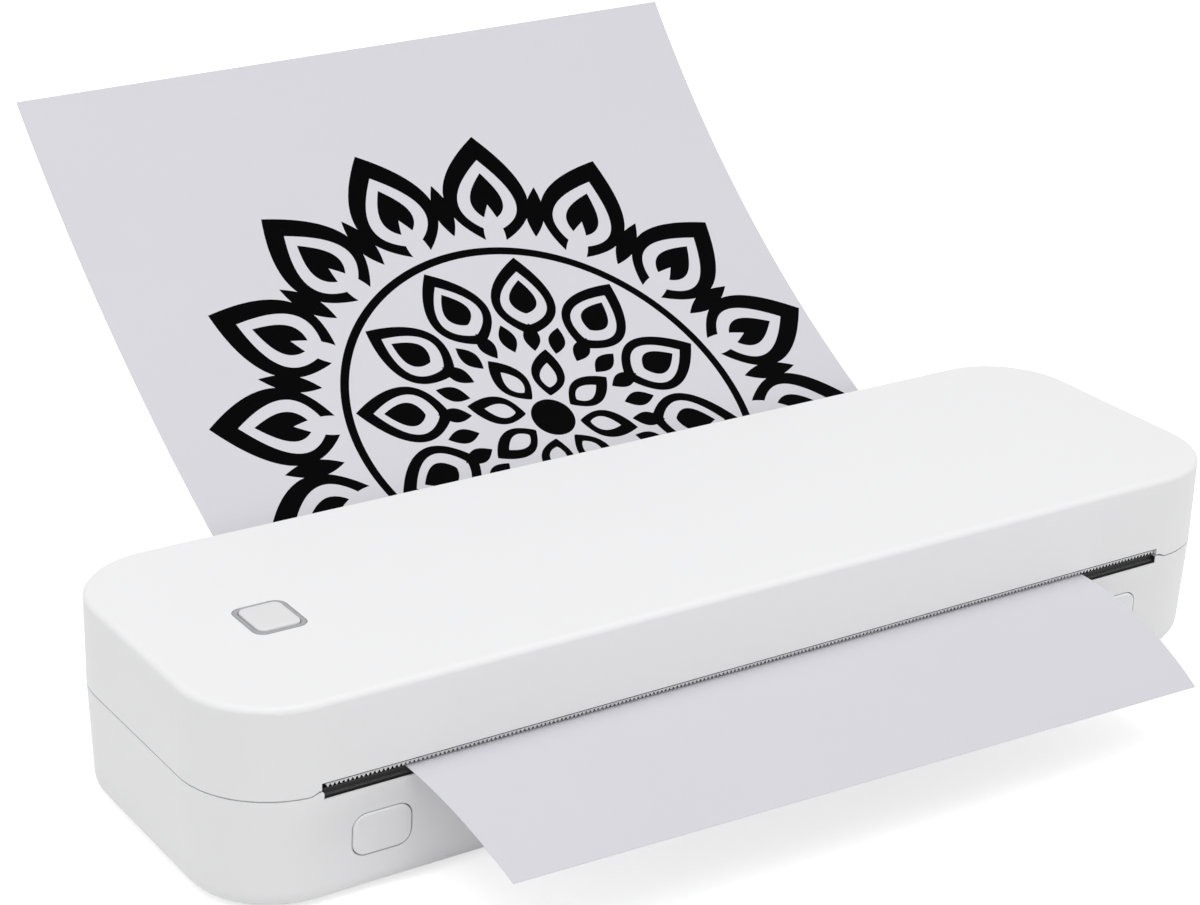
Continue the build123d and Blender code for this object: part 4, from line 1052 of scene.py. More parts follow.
class Repeater:
    """Geometry Nodes trees that repeat a small shape; the result is made a plain mesh."""

    def __init__(self) -> None:
        """Build the two trees."""
        self.row_tree = self._row()
        self.place_tree = self._places()

    @staticmethod
    def _start(name: str, sockets: dict[str, str]) -> tuple[Graph, Sockets]:
        """Make a tree with its named inputs and one geometry output.

        Args:
            name: the tree's name.
            sockets: the names of its inputs past the geometry, with their types.

        Returns:
            The tree's graph and its inputs.
        """
        tree = bpy.data.node_groups.new(name, "GeometryNodeTree")
        sockets = {"Geometry": "NodeSocketGeometry", **sockets, "Material": "NodeSocketMaterial"}
        for label, kind in sockets.items():
            tree.interface.new_socket(name=label, in_out="INPUT", socket_type=kind)
        tree.interface.new_socket(name="Geometry", in_out="OUTPUT", socket_type="NodeSocketGeometry")
        graph = Graph(tree)
        return graph, dict(graph.node("NodeGroupInput").outputs.items())

    @staticmethod
    def _end(graph: Graph, instances: Socket, material: Socket) -> NodeTree:
        """Make the instances real, give them the material and put them out.

        Args:
            graph: the tree's graph.
            instances: what is repeated.
            material: the material.

        Returns:
            The finished tree.
        """
        real = graph.node("GeometryNodeRealizeInstances", {0: instances})
        dressed = graph.node("GeometryNodeSetMaterial", {"Geometry": real.outputs[0], "Material": material})
        graph.node("NodeGroupOutput", {"Geometry": dressed.outputs["Geometry"]})
        return graph.tree

    def _row(self) -> NodeTree:
        """Build the tree that repeats the object's own mesh at even steps.

        Returns:
            The tree.
        """
        graph, given = self._start("repeat_in_a_row", {"Count": "NodeSocketInt", "Step": "NodeSocketVector"})
        line = graph.node("GeometryNodeMeshLine", {"Count": given["Count"], "Offset": given["Step"]},
                          mode="OFFSET")
        spread = graph.node("GeometryNodeInstanceOnPoints", {"Points": line.outputs[0],
                                                             "Instance": given["Geometry"]})
        return self._end(graph, spread.outputs[0], given["Material"])

    def _places(self) -> NodeTree:
        """Build the tree that repeats a template object at the object's own points.

        Returns:
            The tree.
        """
        graph, given = self._start("repeat_at_places",
                                   {"Template": "NodeSocketObject", "Turn": "NodeSocketVector"})
        template = graph.node("GeometryNodeObjectInfo", {"Object": given["Template"]})
        turn = graph.node("FunctionNodeEulerToRotation", {"Euler": given["Turn"]})
        spread = graph.node("GeometryNodeInstanceOnPoints", {
            "Points": given["Geometry"], "Instance": template.outputs["Geometry"],
            "Rotation": turn.outputs["Rotation"]})
        return self._end(graph, spread.outputs[0], given["Material"])

    @staticmethod
    def _plain(holder: Object, tree: NodeTree, values: dict[str, object], material: Material) -> None:
        """Run a tree on an object and keep the result as the object's plain mesh.

        Args:
            holder: the object.
            tree: the tree.
            values: the tree's inputs by name, past the geometry and the material.
            material: the finish.
        """
        modifier = holder.modifiers.new("repeat", "NODES")
        modifier.node_group = tree
        names = {item.name: item.identifier for item in tree.interface.items_tree if item.in_out == "INPUT"}
        for label, value in {**values, "Material": material}.items():
            modifier[names[label]] = value
        graph = bpy.context.evaluated_depsgraph_get()
        real = bpy.data.meshes.new_from_object(holder.evaluated_get(graph))
        holder.modifiers.clear()
        old, holder.data = holder.data, real
        bpy.data.meshes.remove(old)
        real.name = holder.name
        real.materials.clear()
        real.materials.append(material)
        real.polygons.foreach_set("material_index", [0] * len(real.polygons))

    def in_a_row(self, name: str, first: Shape, count: int, step: Point3, material: Material) -> Object:
        """Repeat a shape at even steps.

        Args:
            name: the piece's name.
            first: the first of them, in its place.
            count: how many.
            step: from one to the next, in millimetres.
            material: the finish.

        Returns:
            One plain object.
        """
        holder = first.piece(name, material)
        values = {"Count": count, "Step": tuple(part * MM for part in step)}
        self._plain(holder, self.row_tree, values, material)
        return holder

    def at_places(self, name: str, template: Shape, places: Sequence[Point3], turn: Point3,
                  material: Material) -> Object:
        """Repeat a shape at places.

        Args:
            name: the piece's name.
            template: the shape about the origin.
            places: where its origin goes, in millimetres.
            turn: the angles in degrees that it is turned by.
            material: the finish.

        Returns:
            One plain object.
        """
        pattern = template.piece(name + "_template", material)
        data = bpy.data.meshes.new(name)
        data.from_pydata([tuple(part * MM for part in place) for place in places], [], [])
        holder = linked(name, data)
        values = {"Template": pattern, "Turn": tuple(math.radians(part) for part in turn)}
        self._plain(holder, self.place_tree, values, material)
        mesh = pattern.data
        bpy.data.objects.remove(pattern)
        bpy.data.meshes.remove(mesh)
        return holder


class Workshop:
    """The finishes and the repeating trees, and the ways in which a piece is handed to the frame."""

    def __init__(self) -> None:
        """Dress the CAD nodes and get ready for the detailed pieces."""
        self.paints = Paintbox()
        self.paints.dress_nodes()
        self.repeat = Repeater()

    @staticmethod
    def placed(piece: Object, body: Body, slot: str, *nodes: str) -> Object:
        """Hand over a piece that rides one body.

        Args:
            piece: the object.
            body: the body that it rides on.
            slot: the record's material slot; not used.
            nodes: the CAD nodes that it stands for.

        Returns:
            The same object.
        """
        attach(piece, body.value)
        if nodes:
            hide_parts(*nodes)
        log.info("%s on %s: %d faces", piece.name, body.value, len(piece.data.polygons))
        return piece

    def shaped(self, name: str, shape: Shape, body: Body, slot: str, *nodes: str) -> Object:
        """Make one piece of a shape, in the finish of its slot, and hand it over.

        Args:
            name: the piece's name.
            shape: its shape.
            body: the body that it rides on.
            slot: the record's material slot.
            nodes: the CAD nodes that it stands for.

        Returns:
            The object.
        """
        return self.placed(shape.piece(name, self.paints[slot]), body, slot, *nodes)

    def repeated(self, name: str, shape: Shape, places: Sequence[Point3], turn: Point3, body: Body, slot: str,
                 *nodes: str) -> Object:
        """Make one piece of many copies of a shape, and hand it over.

        Args:
            name: the piece's name.
            shape: the shape about the origin.
            places: where its origin goes, in millimetres.
            turn: the angles in degrees that it is turned by.
            body: the body that the piece rides on.
            slot: the record's material slot.
            nodes: the CAD nodes that it stands for.

        Returns:
            The object.
        """
        piece = self.repeat.at_places(name, shape, places, turn, self.paints[slot])
        return self.placed(piece, body, slot, *nodes)


# ---------------------------------------------------------------------------------------------
# Sub-assemblies
# ---------------------------------------------------------------------------------------------
@dataclass
class Feet:
    """The four rubber feet, each with a ring moulded in its tread."""

    radius: float = 6.0
    height: float = 1.6
    groove: float = 0.35
    slope: float = 0.3
    ring: Point2 = (1.9, 3.4)
    ring_level: float = 0.05
    tread_radius: float = 4.6
    x: float = 130.0
    y: float = 30.0

    def profile(self) -> list[Point2]:
        """Draw a foot from the middle of its tread, out and up to the middle of its back.

        Returns:
            The (radius, height) points.
        """
        r, h, deep, level = self.radius, self.height, self.groove, self.ring_level
        (inner, outer), tread, slope = self.ring, self.tread_radius, self.slope
        return [(0.0, deep), (inner - slope, deep), (inner, level), (outer, level), (outer + slope, deep),
                (tread - slope, deep), (tread, 0.0), (r - 0.5, 0.0), (r - 0.15, 0.12), (r, 0.45),
                (r, h - 0.1), (r - 0.1, h), (0.0, h)]

    def build(self, shop: Workshop) -> None:
        """Make the feet.

        Args:
            shop: the workshop that makes the pieces.
        """
        foot = Shape()
        foot.lathe(self.profile(), Matrix(), 40)
        places = [(x, y, 0.0) for x in (-self.x, self.x) for y in (-self.y, self.y)]
        shop.repeated("feet_tread", foot, places, (0, 0, 0), Body.BASE, "rubber", "rubber_feet")


@dataclass
class TearComb:
    """The white serrated strip over the paper slot, held under a rail behind the cover's lip; the rail's
    black finish paints the shade in the groove over the strip.
    """

    ends: Point2 = (-129.1, 128.4)
    face_y: float = -46.4
    back_y: float = -44.8
    groove: Point2 = (33.02, 33.5)
    groove_depth: float = 0.6
    foot: float = 0.06
    foot_set_back: float = 0.05
    top_z: float = 38.0
    count: int = 221
    root_z: float = 32.67
    tip_z: float = 31.92
    tooth_depth: float = 0.14

    def rail(self) -> Shape:
        """Shape the rail, with the groove that its foot leaves over the strip; it is black to paint the shade
        in that groove.

        Returns:
            The rail.
        """
        low, high = self.groove
        inner_y, foot_y = self.face_y + self.groove_depth, self.face_y + self.foot_set_back
        foot_z = low - self.foot
        rail = Shape()
        rail.prism([(self.back_y, foot_z), (foot_y, foot_z), (foot_y, low), (inner_y, low), (inner_y, high),
                    (self.face_y, high), (self.face_y, self.top_z), (self.back_y, self.top_z)], self.ends)
        return rail

    def strip(self) -> Shape:
        """Shape the plain part of the strip, over the teeth.

        Returns:
            The strip.
        """
        gap, chamfer = 0.005, 0.05
        top, front = self.groove[0] - self.foot - gap, self.face_y
        strip = Shape()
        strip.prism([(self.back_y, self.root_z), (front, self.root_z), (front, top - chamfer),
                     (front + chamfer, top), (self.back_y, top)], self.ends)
        return strip

    def pitch(self) -> float:
        """The distance from one tooth to the next."""
        return (self.ends[1] - self.ends[0]) / self.count

    def tooth(self) -> Shape:
        """Shape the first tooth: it leans back to a small flat tip, and its root is rounded.

        Returns:
            The tooth, in its place.
        """
        root, tip, pitch, first_x = self.root_z, self.tip_z, self.pitch(), self.ends[0]
        # Each level has the share of the pitch cut off at each side, the height, and the lean of its front.
        levels = ((0.0, root + 0.03, 0.0), (0.10, root - 0.03, 0.0), (0.18, root - 0.16, 0.02),
                  (0.33, tip + 0.14, 0.08), (0.41, tip, 0.14))
        tooth = Shape()
        rings = []
        for inset, z, lean in levels:
            low, high = first_x + inset * pitch, first_x + (1 - inset) * pitch
            front, back = self.face_y + lean, self.face_y + self.tooth_depth
            rings.append(tooth.ring(((low, front, z), (high, front, z), (high, back, z), (low, back, z))))
        tooth.skin(rings)
        return tooth

    def build(self, shop: Workshop) -> None:
        """Make the rail, the strip and its teeth.

        Args:
            shop: the workshop that makes the pieces.
        """
        # Black rail: painted shade in the groove over the white strip.
        shop.shaped("tear_comb_rail", self.rail(), Body.COVER, "black_plastic", "tear_bar")
        shop.shaped("tear_comb_strip", self.strip(), Body.COVER, "white_plastic", "tear_bar")
        teeth = shop.repeat.in_a_row("tear_comb_teeth", self.tooth(), self.count, (self.pitch(), 0, 0),
                                     shop.paints["white_plastic"])
        shop.placed(teeth, Body.COVER, "white_plastic", "tear_bar")


@dataclass
class GuideCheeks:
    """Two thin black cheeks at the exit guide's ends, lining the ends of the paper slot: painted shade on the
    slot's end walls.
    """

    ends: Point2 = (-129.88, 128.28)
    thickness: float = 0.2
    outer_y: float = -47.15
    front_y: float = -46.42
    crest_y: float = -45.97
    levels: Point3 = (29.5, 30.22, 31.4)

    def build(self, shop: Workshop) -> None:
        """Make both cheeks as one piece.

        Args:
            shop: the workshop that makes the pieces.
        """
        low, ledge, high = self.levels
        outline = [(self.outer_y, low), (self.front_y, low), (self.front_y, ledge), (self.crest_y, ledge),
                   (self.crest_y, high), (self.outer_y, high)]
        cheeks = Shape()
        cheeks.prism(outline, (self.ends[0], self.ends[0] + self.thickness))
        cheeks.prism(outline, (self.ends[1] - self.thickness, self.ends[1]))
        # Black faces that paint the shade on the slot's end walls.
        shop.shaped("guide_cheeks", cheeks, Body.BASE, "black_plastic")


@dataclass
class PowerControl:
    """The surround and cap of the power button in the top of the cover."""

    centre: Point2 = (-120.6, -2.65)
    ring: Point2 = (14.3, 16.0)
    ring_corner: float = 3.0
    hole: Point2 = (11.75, 13.35)
    hole_corner: float = 2.3
    ring_top: float = 54.65
    ring_seat: float = 52.6
    ring_flange: float = 2.4
    ring_flange_corner: float = 4.0
    ring_flange_height: float = 1.0
    outer_rim: tuple[Point2, ...] = ((0.0, 0.42), (0.16, 0.16), (0.6, 0.0))
    inner_rim: tuple[Point2, ...] = ((0.5, 0.0), (0.12, 0.16), (0.0, 0.4))
    cap: Point2 = (11.5, 13.1)
    cap_corner: float = 2.2
    cap_rim: float = 0.55
    cap_flange: float = 1.85
    cap_flange_corner: float = 3.1
    cap_flange_z: Point2 = (50.0, 51.3)
    cap_top: float = 55.2
    crown_margin: float = 3.6
    crown_height: float = 0.01
    stem_radius: float = 1.6
    stem_z: Point2 = (49.75, 50.4)
    corner_steps: int = 10

    def ring_tiers(self) -> list[Tier]:
        """List sections of the surround, up its outside, over its rim and down its hole.

        Returns:
            The tiers. A rim's points are the share cut off or added across it, and the drop below its top.
        """
        (rw, rh), (hw, hh) = self.ring, self.hole
        rc, hc, top, seat, f, fc = (self.ring_corner, self.hole_corner, self.ring_top, self.ring_seat,
                                    self.ring_flange, self.ring_flange_corner)
        foot = seat - self.ring_flange_height
        rows = [(rw + f, rh + f, fc, foot), (rw + f, rh + f, fc, seat - 0.05), (rw, rh, rc, seat)]
        rows += [(rw - cut, rh - cut, rc - cut / 2, top - drop) for cut, drop in self.outer_rim]
        rows += [(hw + cut, hh + cut, hc + cut / 2, top - drop) for cut, drop in self.inner_rim]
        return rows + [(hw, hh, hc, foot)]

    def cap_tiers(self) -> list[Tier]:
        """List sections of the cap, from its flange to its softly crowned top.

        Returns:
            The tiers.
        """
        (w, h), c, top, m = self.cap, self.cap_corner, self.cap_top, self.crown_margin
        f, fc, (low, high) = self.cap_flange, self.cap_flange_corner, self.cap_flange_z
        rows = [(w + f, h + f, fc, low), (w + f, h + f, fc, high), (w, h, c, high + 0.02)]
        rows += rounded_rim(self.cap, c, top - self.crown_height, self.cap_rim, 4)
        return rows + [(w - m, h - m, c - m / 2 + 0.1, top)]

    def build(self, shop: Workshop) -> None:
        """Make the surround and the cap.

        Args:
            shop: the workshop that makes the pieces.
        """
        place = Matrix.Translation((*self.centre, 0.0))
        surround = Shape()
        surround.tiers(self.ring_tiers(), place, self.corner_steps, joined=True)
        shop.shaped("power_surround", surround, Body.COVER, "ring_plastic", "power_ring")
        cap = Shape()
        cap.tiers(self.cap_tiers(), place, self.corner_steps)
        (low, high), r, edge = self.stem_z, self.stem_radius, 0.15
        cap.lathe([(0.0, low), (r - edge, low), (r, low + edge), (r, high), (0.0, high)], place)
        shop.shaped("power_cap", cap, Body.POWER_BUTTON, "white_gloss", "power_button")


@dataclass
class ReleaseButtons:
    """The two buttons in the front that let the cover go; each stands a little proud of its opening."""

    place: Point3 = (114.5, -46.69, 16.85)
    size: Point2 = (15.6, 11.0)
    corner: float = 3.6
    depth: float = 3.2
    back_edge: float = 0.15
    proud: float = 0.3
    rim: float = 0.45
    crown_margin: float = 5.0
    crown_height: float = 0.03
    lean: float = 2.314

    def tiers(self) -> list[Tier]:
        """List sections of a button, from its back to its gently crowned front.

        Returns:
            The tiers.
        """
        (w, h), c, back, m = self.size, self.corner, self.back_edge, self.crown_margin
        rows = [(w - 2 * back, h - 2 * back, c - back, -self.depth), (w, h, c, back - self.depth)]
        rows += rounded_rim(self.size, c, self.proud, self.rim, 5)
        return rows + [(w - m, h - m, c - m / 2 + 0.1, self.proud + self.crown_height)]

    def build(self, shop: Workshop) -> None:
        """Make both buttons.

        Args:
            shop: the workshop that makes the pieces.
        """
        x, y, z = self.place
        lean = math.radians(self.lean)
        out = Vector((0.0, -math.cos(lean), -math.sin(lean)))
        side = Vector((1.0, 0.0, 0.0))
        turn = Matrix((side, out.cross(side), out)).transposed().to_4x4()
        for hand in Hand:
            button = Shape()
            button.tiers(self.tiers(), Matrix.Translation((hand.value * x, y, z)) @ turn, 12)
            shop.shaped(f"release_cap_{hand.word}", button, Body(f"release_{hand.word}"), "white_plastic",
                        f"release_button_{hand.word}")


@dataclass(frozen=True)
class ScrewGroup:
    """Screws of one size, which share a CAD node. A place is where the head's underside stands."""

    node: str
    body: Body
    shank: Point2
    places: tuple[Point3, ...]
    turn: Point3 = (0, 0, 0)
    head: Point2 = (1.9, 1.0)


@dataclass
class Fasteners:
    """Every screw: a low domed head with a cross recess, and a threaded shank."""

    recess_half: float = 0.95
    recess_width: float = 0.22
    recess_depth: float = 0.55
    recess_taper: float = 0.72
    recess_share: float = 0.55
    dome: tuple[Point2, ...] = ((1.0, 0.45), (0.93, 0.78), (0.72, 1.0))
    thread_pitch: float = 0.7
    thread_root: float = 0.8
    plain_end: float = 1.2
    motor: Point3 = (113.8, -2.5555, 15.5596)
    motor_reach: Point2 = (10.34, -8.68)

    def groups(self) -> tuple[ScrewGroup, ...]:
        """List the groups of screws.

        Returns:
            The groups. A shank and a head are a radius and a length.
        """
        down, right = (180, 0, 0), (0, 90, 0)
        rows = ((-39.3, 100.0), (38.0, 106.0))
        legs = tuple((x, y, 2.1) for y, reach in rows for x in (-reach, 0.0, reach))
        trays = tuple((hand.value * 136.0, y, 29.4) for hand in Hand for y in (-20.0, 22.0))
        boards = tuple((x, y, 9.6) for x in (-124.0, -44.0) for y in (5.0, 39.0))
        (x, y, z), (reach_y, reach_z) = self.motor, self.motor_reach
        motors = tuple((x, y + side * reach_y, z + side * reach_z) for side in (-1, 1))
        brackets = tuple((x, -14.0, 42.0) for x in (-95.0, -35.0, 35.0, 95.0))
        buttons = tuple((-111.0, y, 44.9) for y in (-12.2, 13.0))
        return (
            ScrewGroup("base_screws", Body.BASE, (1.05, 7.9), legs, down, (2.4, 0.9)),
            ScrewGroup("tray_screws", Body.BASE, (0.85, 7.5), trays),
            ScrewGroup("frame_screws", Body.BASE, (0.85, 1.2), ((-109.2, -27.5, 4.2), (109.2, -19.5, 4.2))),
            ScrewGroup("board_screws", Body.BASE, (0.85, 6.1), boards),
            ScrewGroup("motor_screws", Body.BASE, (0.85, 2.8), motors, right, (1.9, 0.9)),
            ScrewGroup("bracket_screws", Body.COVER, (0.85, 6.2), brackets, down),
            ScrewGroup("button_board_screws", Body.COVER, (0.85, 5.6), buttons, down))

    def profile(self, shank: Point2, head: Point2) -> list[Point2]:
        """Draw a screw from the end of its shank up to the flat of its head.

        Args:
            shank: the thread's outer radius and its length.
            head: the head's radius and its height.

        Returns:
            The (radius, height) points, from the head's underside.
        """
        (shank_radius, length), (radius, height) = shank, head
        crest, root = 0.12, self.thread_pitch * 0.55
        thread = []
        depth = 0.0
        while depth < length - self.plain_end:
            thread += [(shank_radius, -depth - crest), (shank_radius * self.thread_root, -depth - root)]
            depth += self.thread_pitch
        return [(0.0, -length), (shank_radius * 0.45, 0.3 - length), *thread[::-1], (shank_radius, 0.0),
                (radius - 0.05, 0.0), (radius, 0.08), *((radius * a, height * b) for a, b in self.dome)]

    def cross(self, head_radius: float) -> list[Point2]:
        """Draw the outline of the cross recess.

        Args:
            head_radius: the radius of the screw's head.

        Returns:
            The outline's points.
        """
        long, wide = min(self.recess_half, head_radius * self.recess_share), self.recess_width
        corner = [(wide, -long), (wide, -wide), (long, -wide)]
        outline = []
        for _ in range(4):
            outline += corner
            corner = [(-y, x) for x, y in corner]
        return outline

    def screw(self, shank: Point2, head: Point2) -> Shape:
        """Shape one screw with its head up, from the underside of the head at the origin.

        Args:
            shank: the thread's outer radius and its length.
            head: the head's radius and its height.

        Returns:
            The screw.
        """
        made = Shape()
        rim = made.lathe(self.profile(shank, head), Matrix())[-1]
        rim.sort(key=lambda vert: math.atan2(vert.co.y, vert.co.x))
        cross = self.cross(head[0])
        taper, floor_z = self.recess_taper, head[1] - self.recess_depth
        mouth = made.ring((x, y, head[1]) for x, y in cross)
        floor = made.ring((x * taper, y * taper, floor_z) for x, y in cross)
        edges = []
        for loop in (rim, mouth):
            for pair in zip(loop[-1:] + loop[:-1], loop):
                edges.append(made.mesh.edges.get(pair) or made.mesh.edges.new(pair))
        bmesh.ops.triangle_fill(made.mesh, use_beauty=True, edges=edges)
        inside = [face for face in made.mesh.faces if all(vert in mouth for vert in face.verts)]
        bmesh.ops.delete(made.mesh, geom=inside, context="FACES_ONLY")
        made.skin([mouth, floor], capped=False)
        made.mesh.faces.new(floor)
        return made

    def build(self, shop: Workshop) -> None:
        """Make every group of screws, each standing for its own node.

        Args:
            shop: the workshop that makes the pieces.
        """
        for group in self.groups():
            shop.repeated("cross_head_" + group.node, self.screw(group.shank, group.head), group.places,
                          group.turn, group.body, "zinc_screw", group.node)


@dataclass(frozen=True)
class Coil:
    """A coil spring's sizes: free and pressed height, radius to the wire's middle, wire radius and turns."""

    height: float
    pressed: float
    radius: float
    wire: float
    turns: float

    def share(self) -> float:
        """The share of its height that it keeps when pressed."""
        return self.pressed / self.height


@dataclass
class Springs:
    """Coil springs with closed, ground ends, over the head and behind the release buttons."""

    wire_steps: int = 8
    steps_per_turn: int = 20
    closed_turns: float = 0.8
    closed_rise: float = 0.9
    head_coil: Coil = Coil(5.6, 4.4, 2.4, 0.35, 5.0)
    head_x: Point3 = (-80.0, 0.0, 80.0)
    head_y: float = -27.5
    head_z: float = 36.4
    latch_coil: Coil = Coil(4.8, 2.8, 1.45, 0.25, 6.0)
    latch_place: Point3 = (110.4, -40.6, 14.6)

    def rises(self, coil: Coil) -> list[float]:
        """Find how high the wire's middle stands at each step along it.

        Args:
            coil: the spring.

        Returns:
            The heights.
        """
        total = int(coil.turns * self.steps_per_turn)
        closed, end_rise = self.closed_turns, coil.wire * self.closed_rise
        open_rise = coil.height - 2 * coil.wire - 2 * end_rise
        heights = []
        for step in range(total + 1):
            wound = coil.turns * step / total
            middle = min(max((wound - closed) / (coil.turns - 2 * closed), 0.0), 1.0)
            ends = (min(wound, closed) + max(wound - coil.turns + closed, 0.0)) / closed
            heights.append(coil.wire + middle * open_rise + ends * end_rise)
        return heights

    def wind(self, shape: Shape, coil: Coil, start: Vector, axis: Vector) -> None:
        """Add one spring to a shape.

        Args:
            shape: the shape.
            coil: the spring's sizes.
            start: the middle of its first end.
            axis: the direction that it stands in.
        """
        across = axis.orthogonal().normalized()
        other = axis.cross(across)
        path = []
        for step, rise in enumerate(self.rises(coil)):
            turn = 2 * math.pi * step / self.steps_per_turn
            path.append(start + axis * rise + across * coil.radius * math.cos(turn)
                        + other * coil.radius * math.sin(turn))
        section = arc((0.0, 0.0), coil.wire, 0, 360 - 360 / self.wire_steps, self.wire_steps - 1)
        shape.sweep(path, section, axis, rolling=True)

    def build(self, shop: Workshop) -> None:
        """Make the springs, each piece with a mesh of its own.

        Args:
            shop: the workshop that makes the pieces.
        """
        head, coil = Shape(), self.head_coil
        for x in self.head_x:
            self.wind(head, coil, Vector((x, self.head_y, self.head_z)), Vector((0, 0, 1)))
        piece = shop.shaped("head_coils", head, Body.COVER, "spring_steel", "head_springs")
        coil.share()
        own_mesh(piece)
        coil, (x, y, z) = self.latch_coil, self.latch_place
        for hand in Hand:
            latch = Shape()
            self.wind(latch, coil, Vector((hand.value * x, y, z)), Vector((0, 1, 0)))
            piece = shop.shaped(f"latch_coil_{hand.word}", latch, Body.BASE, "spring_steel",
                                f"latch_spring_{hand.word}")
            coil.share()
            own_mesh(piece)


@dataclass(frozen=True)
class CableRun:
    """One flat cable: its corners are (y, z) points."""

    name: str
    node: str
    bodies: tuple[Body, Body]
    x: float
    width: float
    bend: float
    route: tuple[Point2, ...]
    moving: tuple[Point2, Point2]


@dataclass
class FlatCables:
    """The two flat cables that cross moving joints."""

    thickness: float = 0.3
    bend_steps: int = 6
    fine: float = 1.5
    runs: tuple[CableRun, ...] = (
        CableRun("cover_cable", "main_ribbon", (Body.BASE, Body.COVER), -119.5, 10.0, 1.2,
                 ((30.25, 12.6), (30.25, 20.0), (39.0, 27.0), (41.0, 41.0), (36.0, 49.4), (27.0, 49.4),
                  (25.0, 47.3), (21.0, 47.3)), ((38.0, 26.0), (36.0, 49.4))),
        CableRun("head_cable", "head_ribbon", (Body.COVER, Body.HEAD), -121.8, 8.0, 0.7,
                 ((-13.0, 43.3), (-13.0, 41.6), (-9.4, 40.0), (-14.5, 38.6), (-14.5, 37.0)),
                 ((-11.2, 40.8), (-13.3, 38.6))))

    def path(self, run: CableRun) -> list[Vector]:
        """Round a cable's corners and cut its straights into short pieces.

        Args:
            run: the cable.

        Returns:
            The points along it.
        """
        points = [Vector((run.x, *corner)) for corner in run.route]
        bent = [points[0]]
        for before, corner, after in zip(points, points[1:], points[2:]):
            back, on = (before - corner).normalized(), (after - corner).normalized()
            reach = min(run.bend / math.tan(back.angle(on) / 2), (before - corner).length * 0.49,
                        (after - corner).length * 0.49)
            start, end = corner + back * reach, corner + on * reach
            for step in range(self.bend_steps + 1):
                share = step / self.bend_steps
                bent.append(start.lerp(corner, share).lerp(corner.lerp(end, share), share))
        bent.append(points[-1])
        path = [bent[0]]
        for before, after in zip(bent, bent[1:]):
            pieces = max(1, int((after - before).length / self.fine))
            path += [before.lerp(after, (step + 1) / pieces) for step in range(pieces)]
        return path

    def build(self, shop: Workshop) -> None:
        """Make both cables in place, each standing for its CAD node.

        Args:
            shop: the workshop that makes the pieces.
        """
        for run in self.runs:
            half, thick = run.width / 2, self.thickness / 2
            strip = Shape()
            strip.sweep(self.path(run), [(-half, -thick), (half, -thick), (half, thick), (-half, thick)],
                        Vector((1, 0, 0)))
            piece = strip.piece(run.name, shop.paints["ribbon"])
            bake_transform(piece)
            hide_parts(run.node)


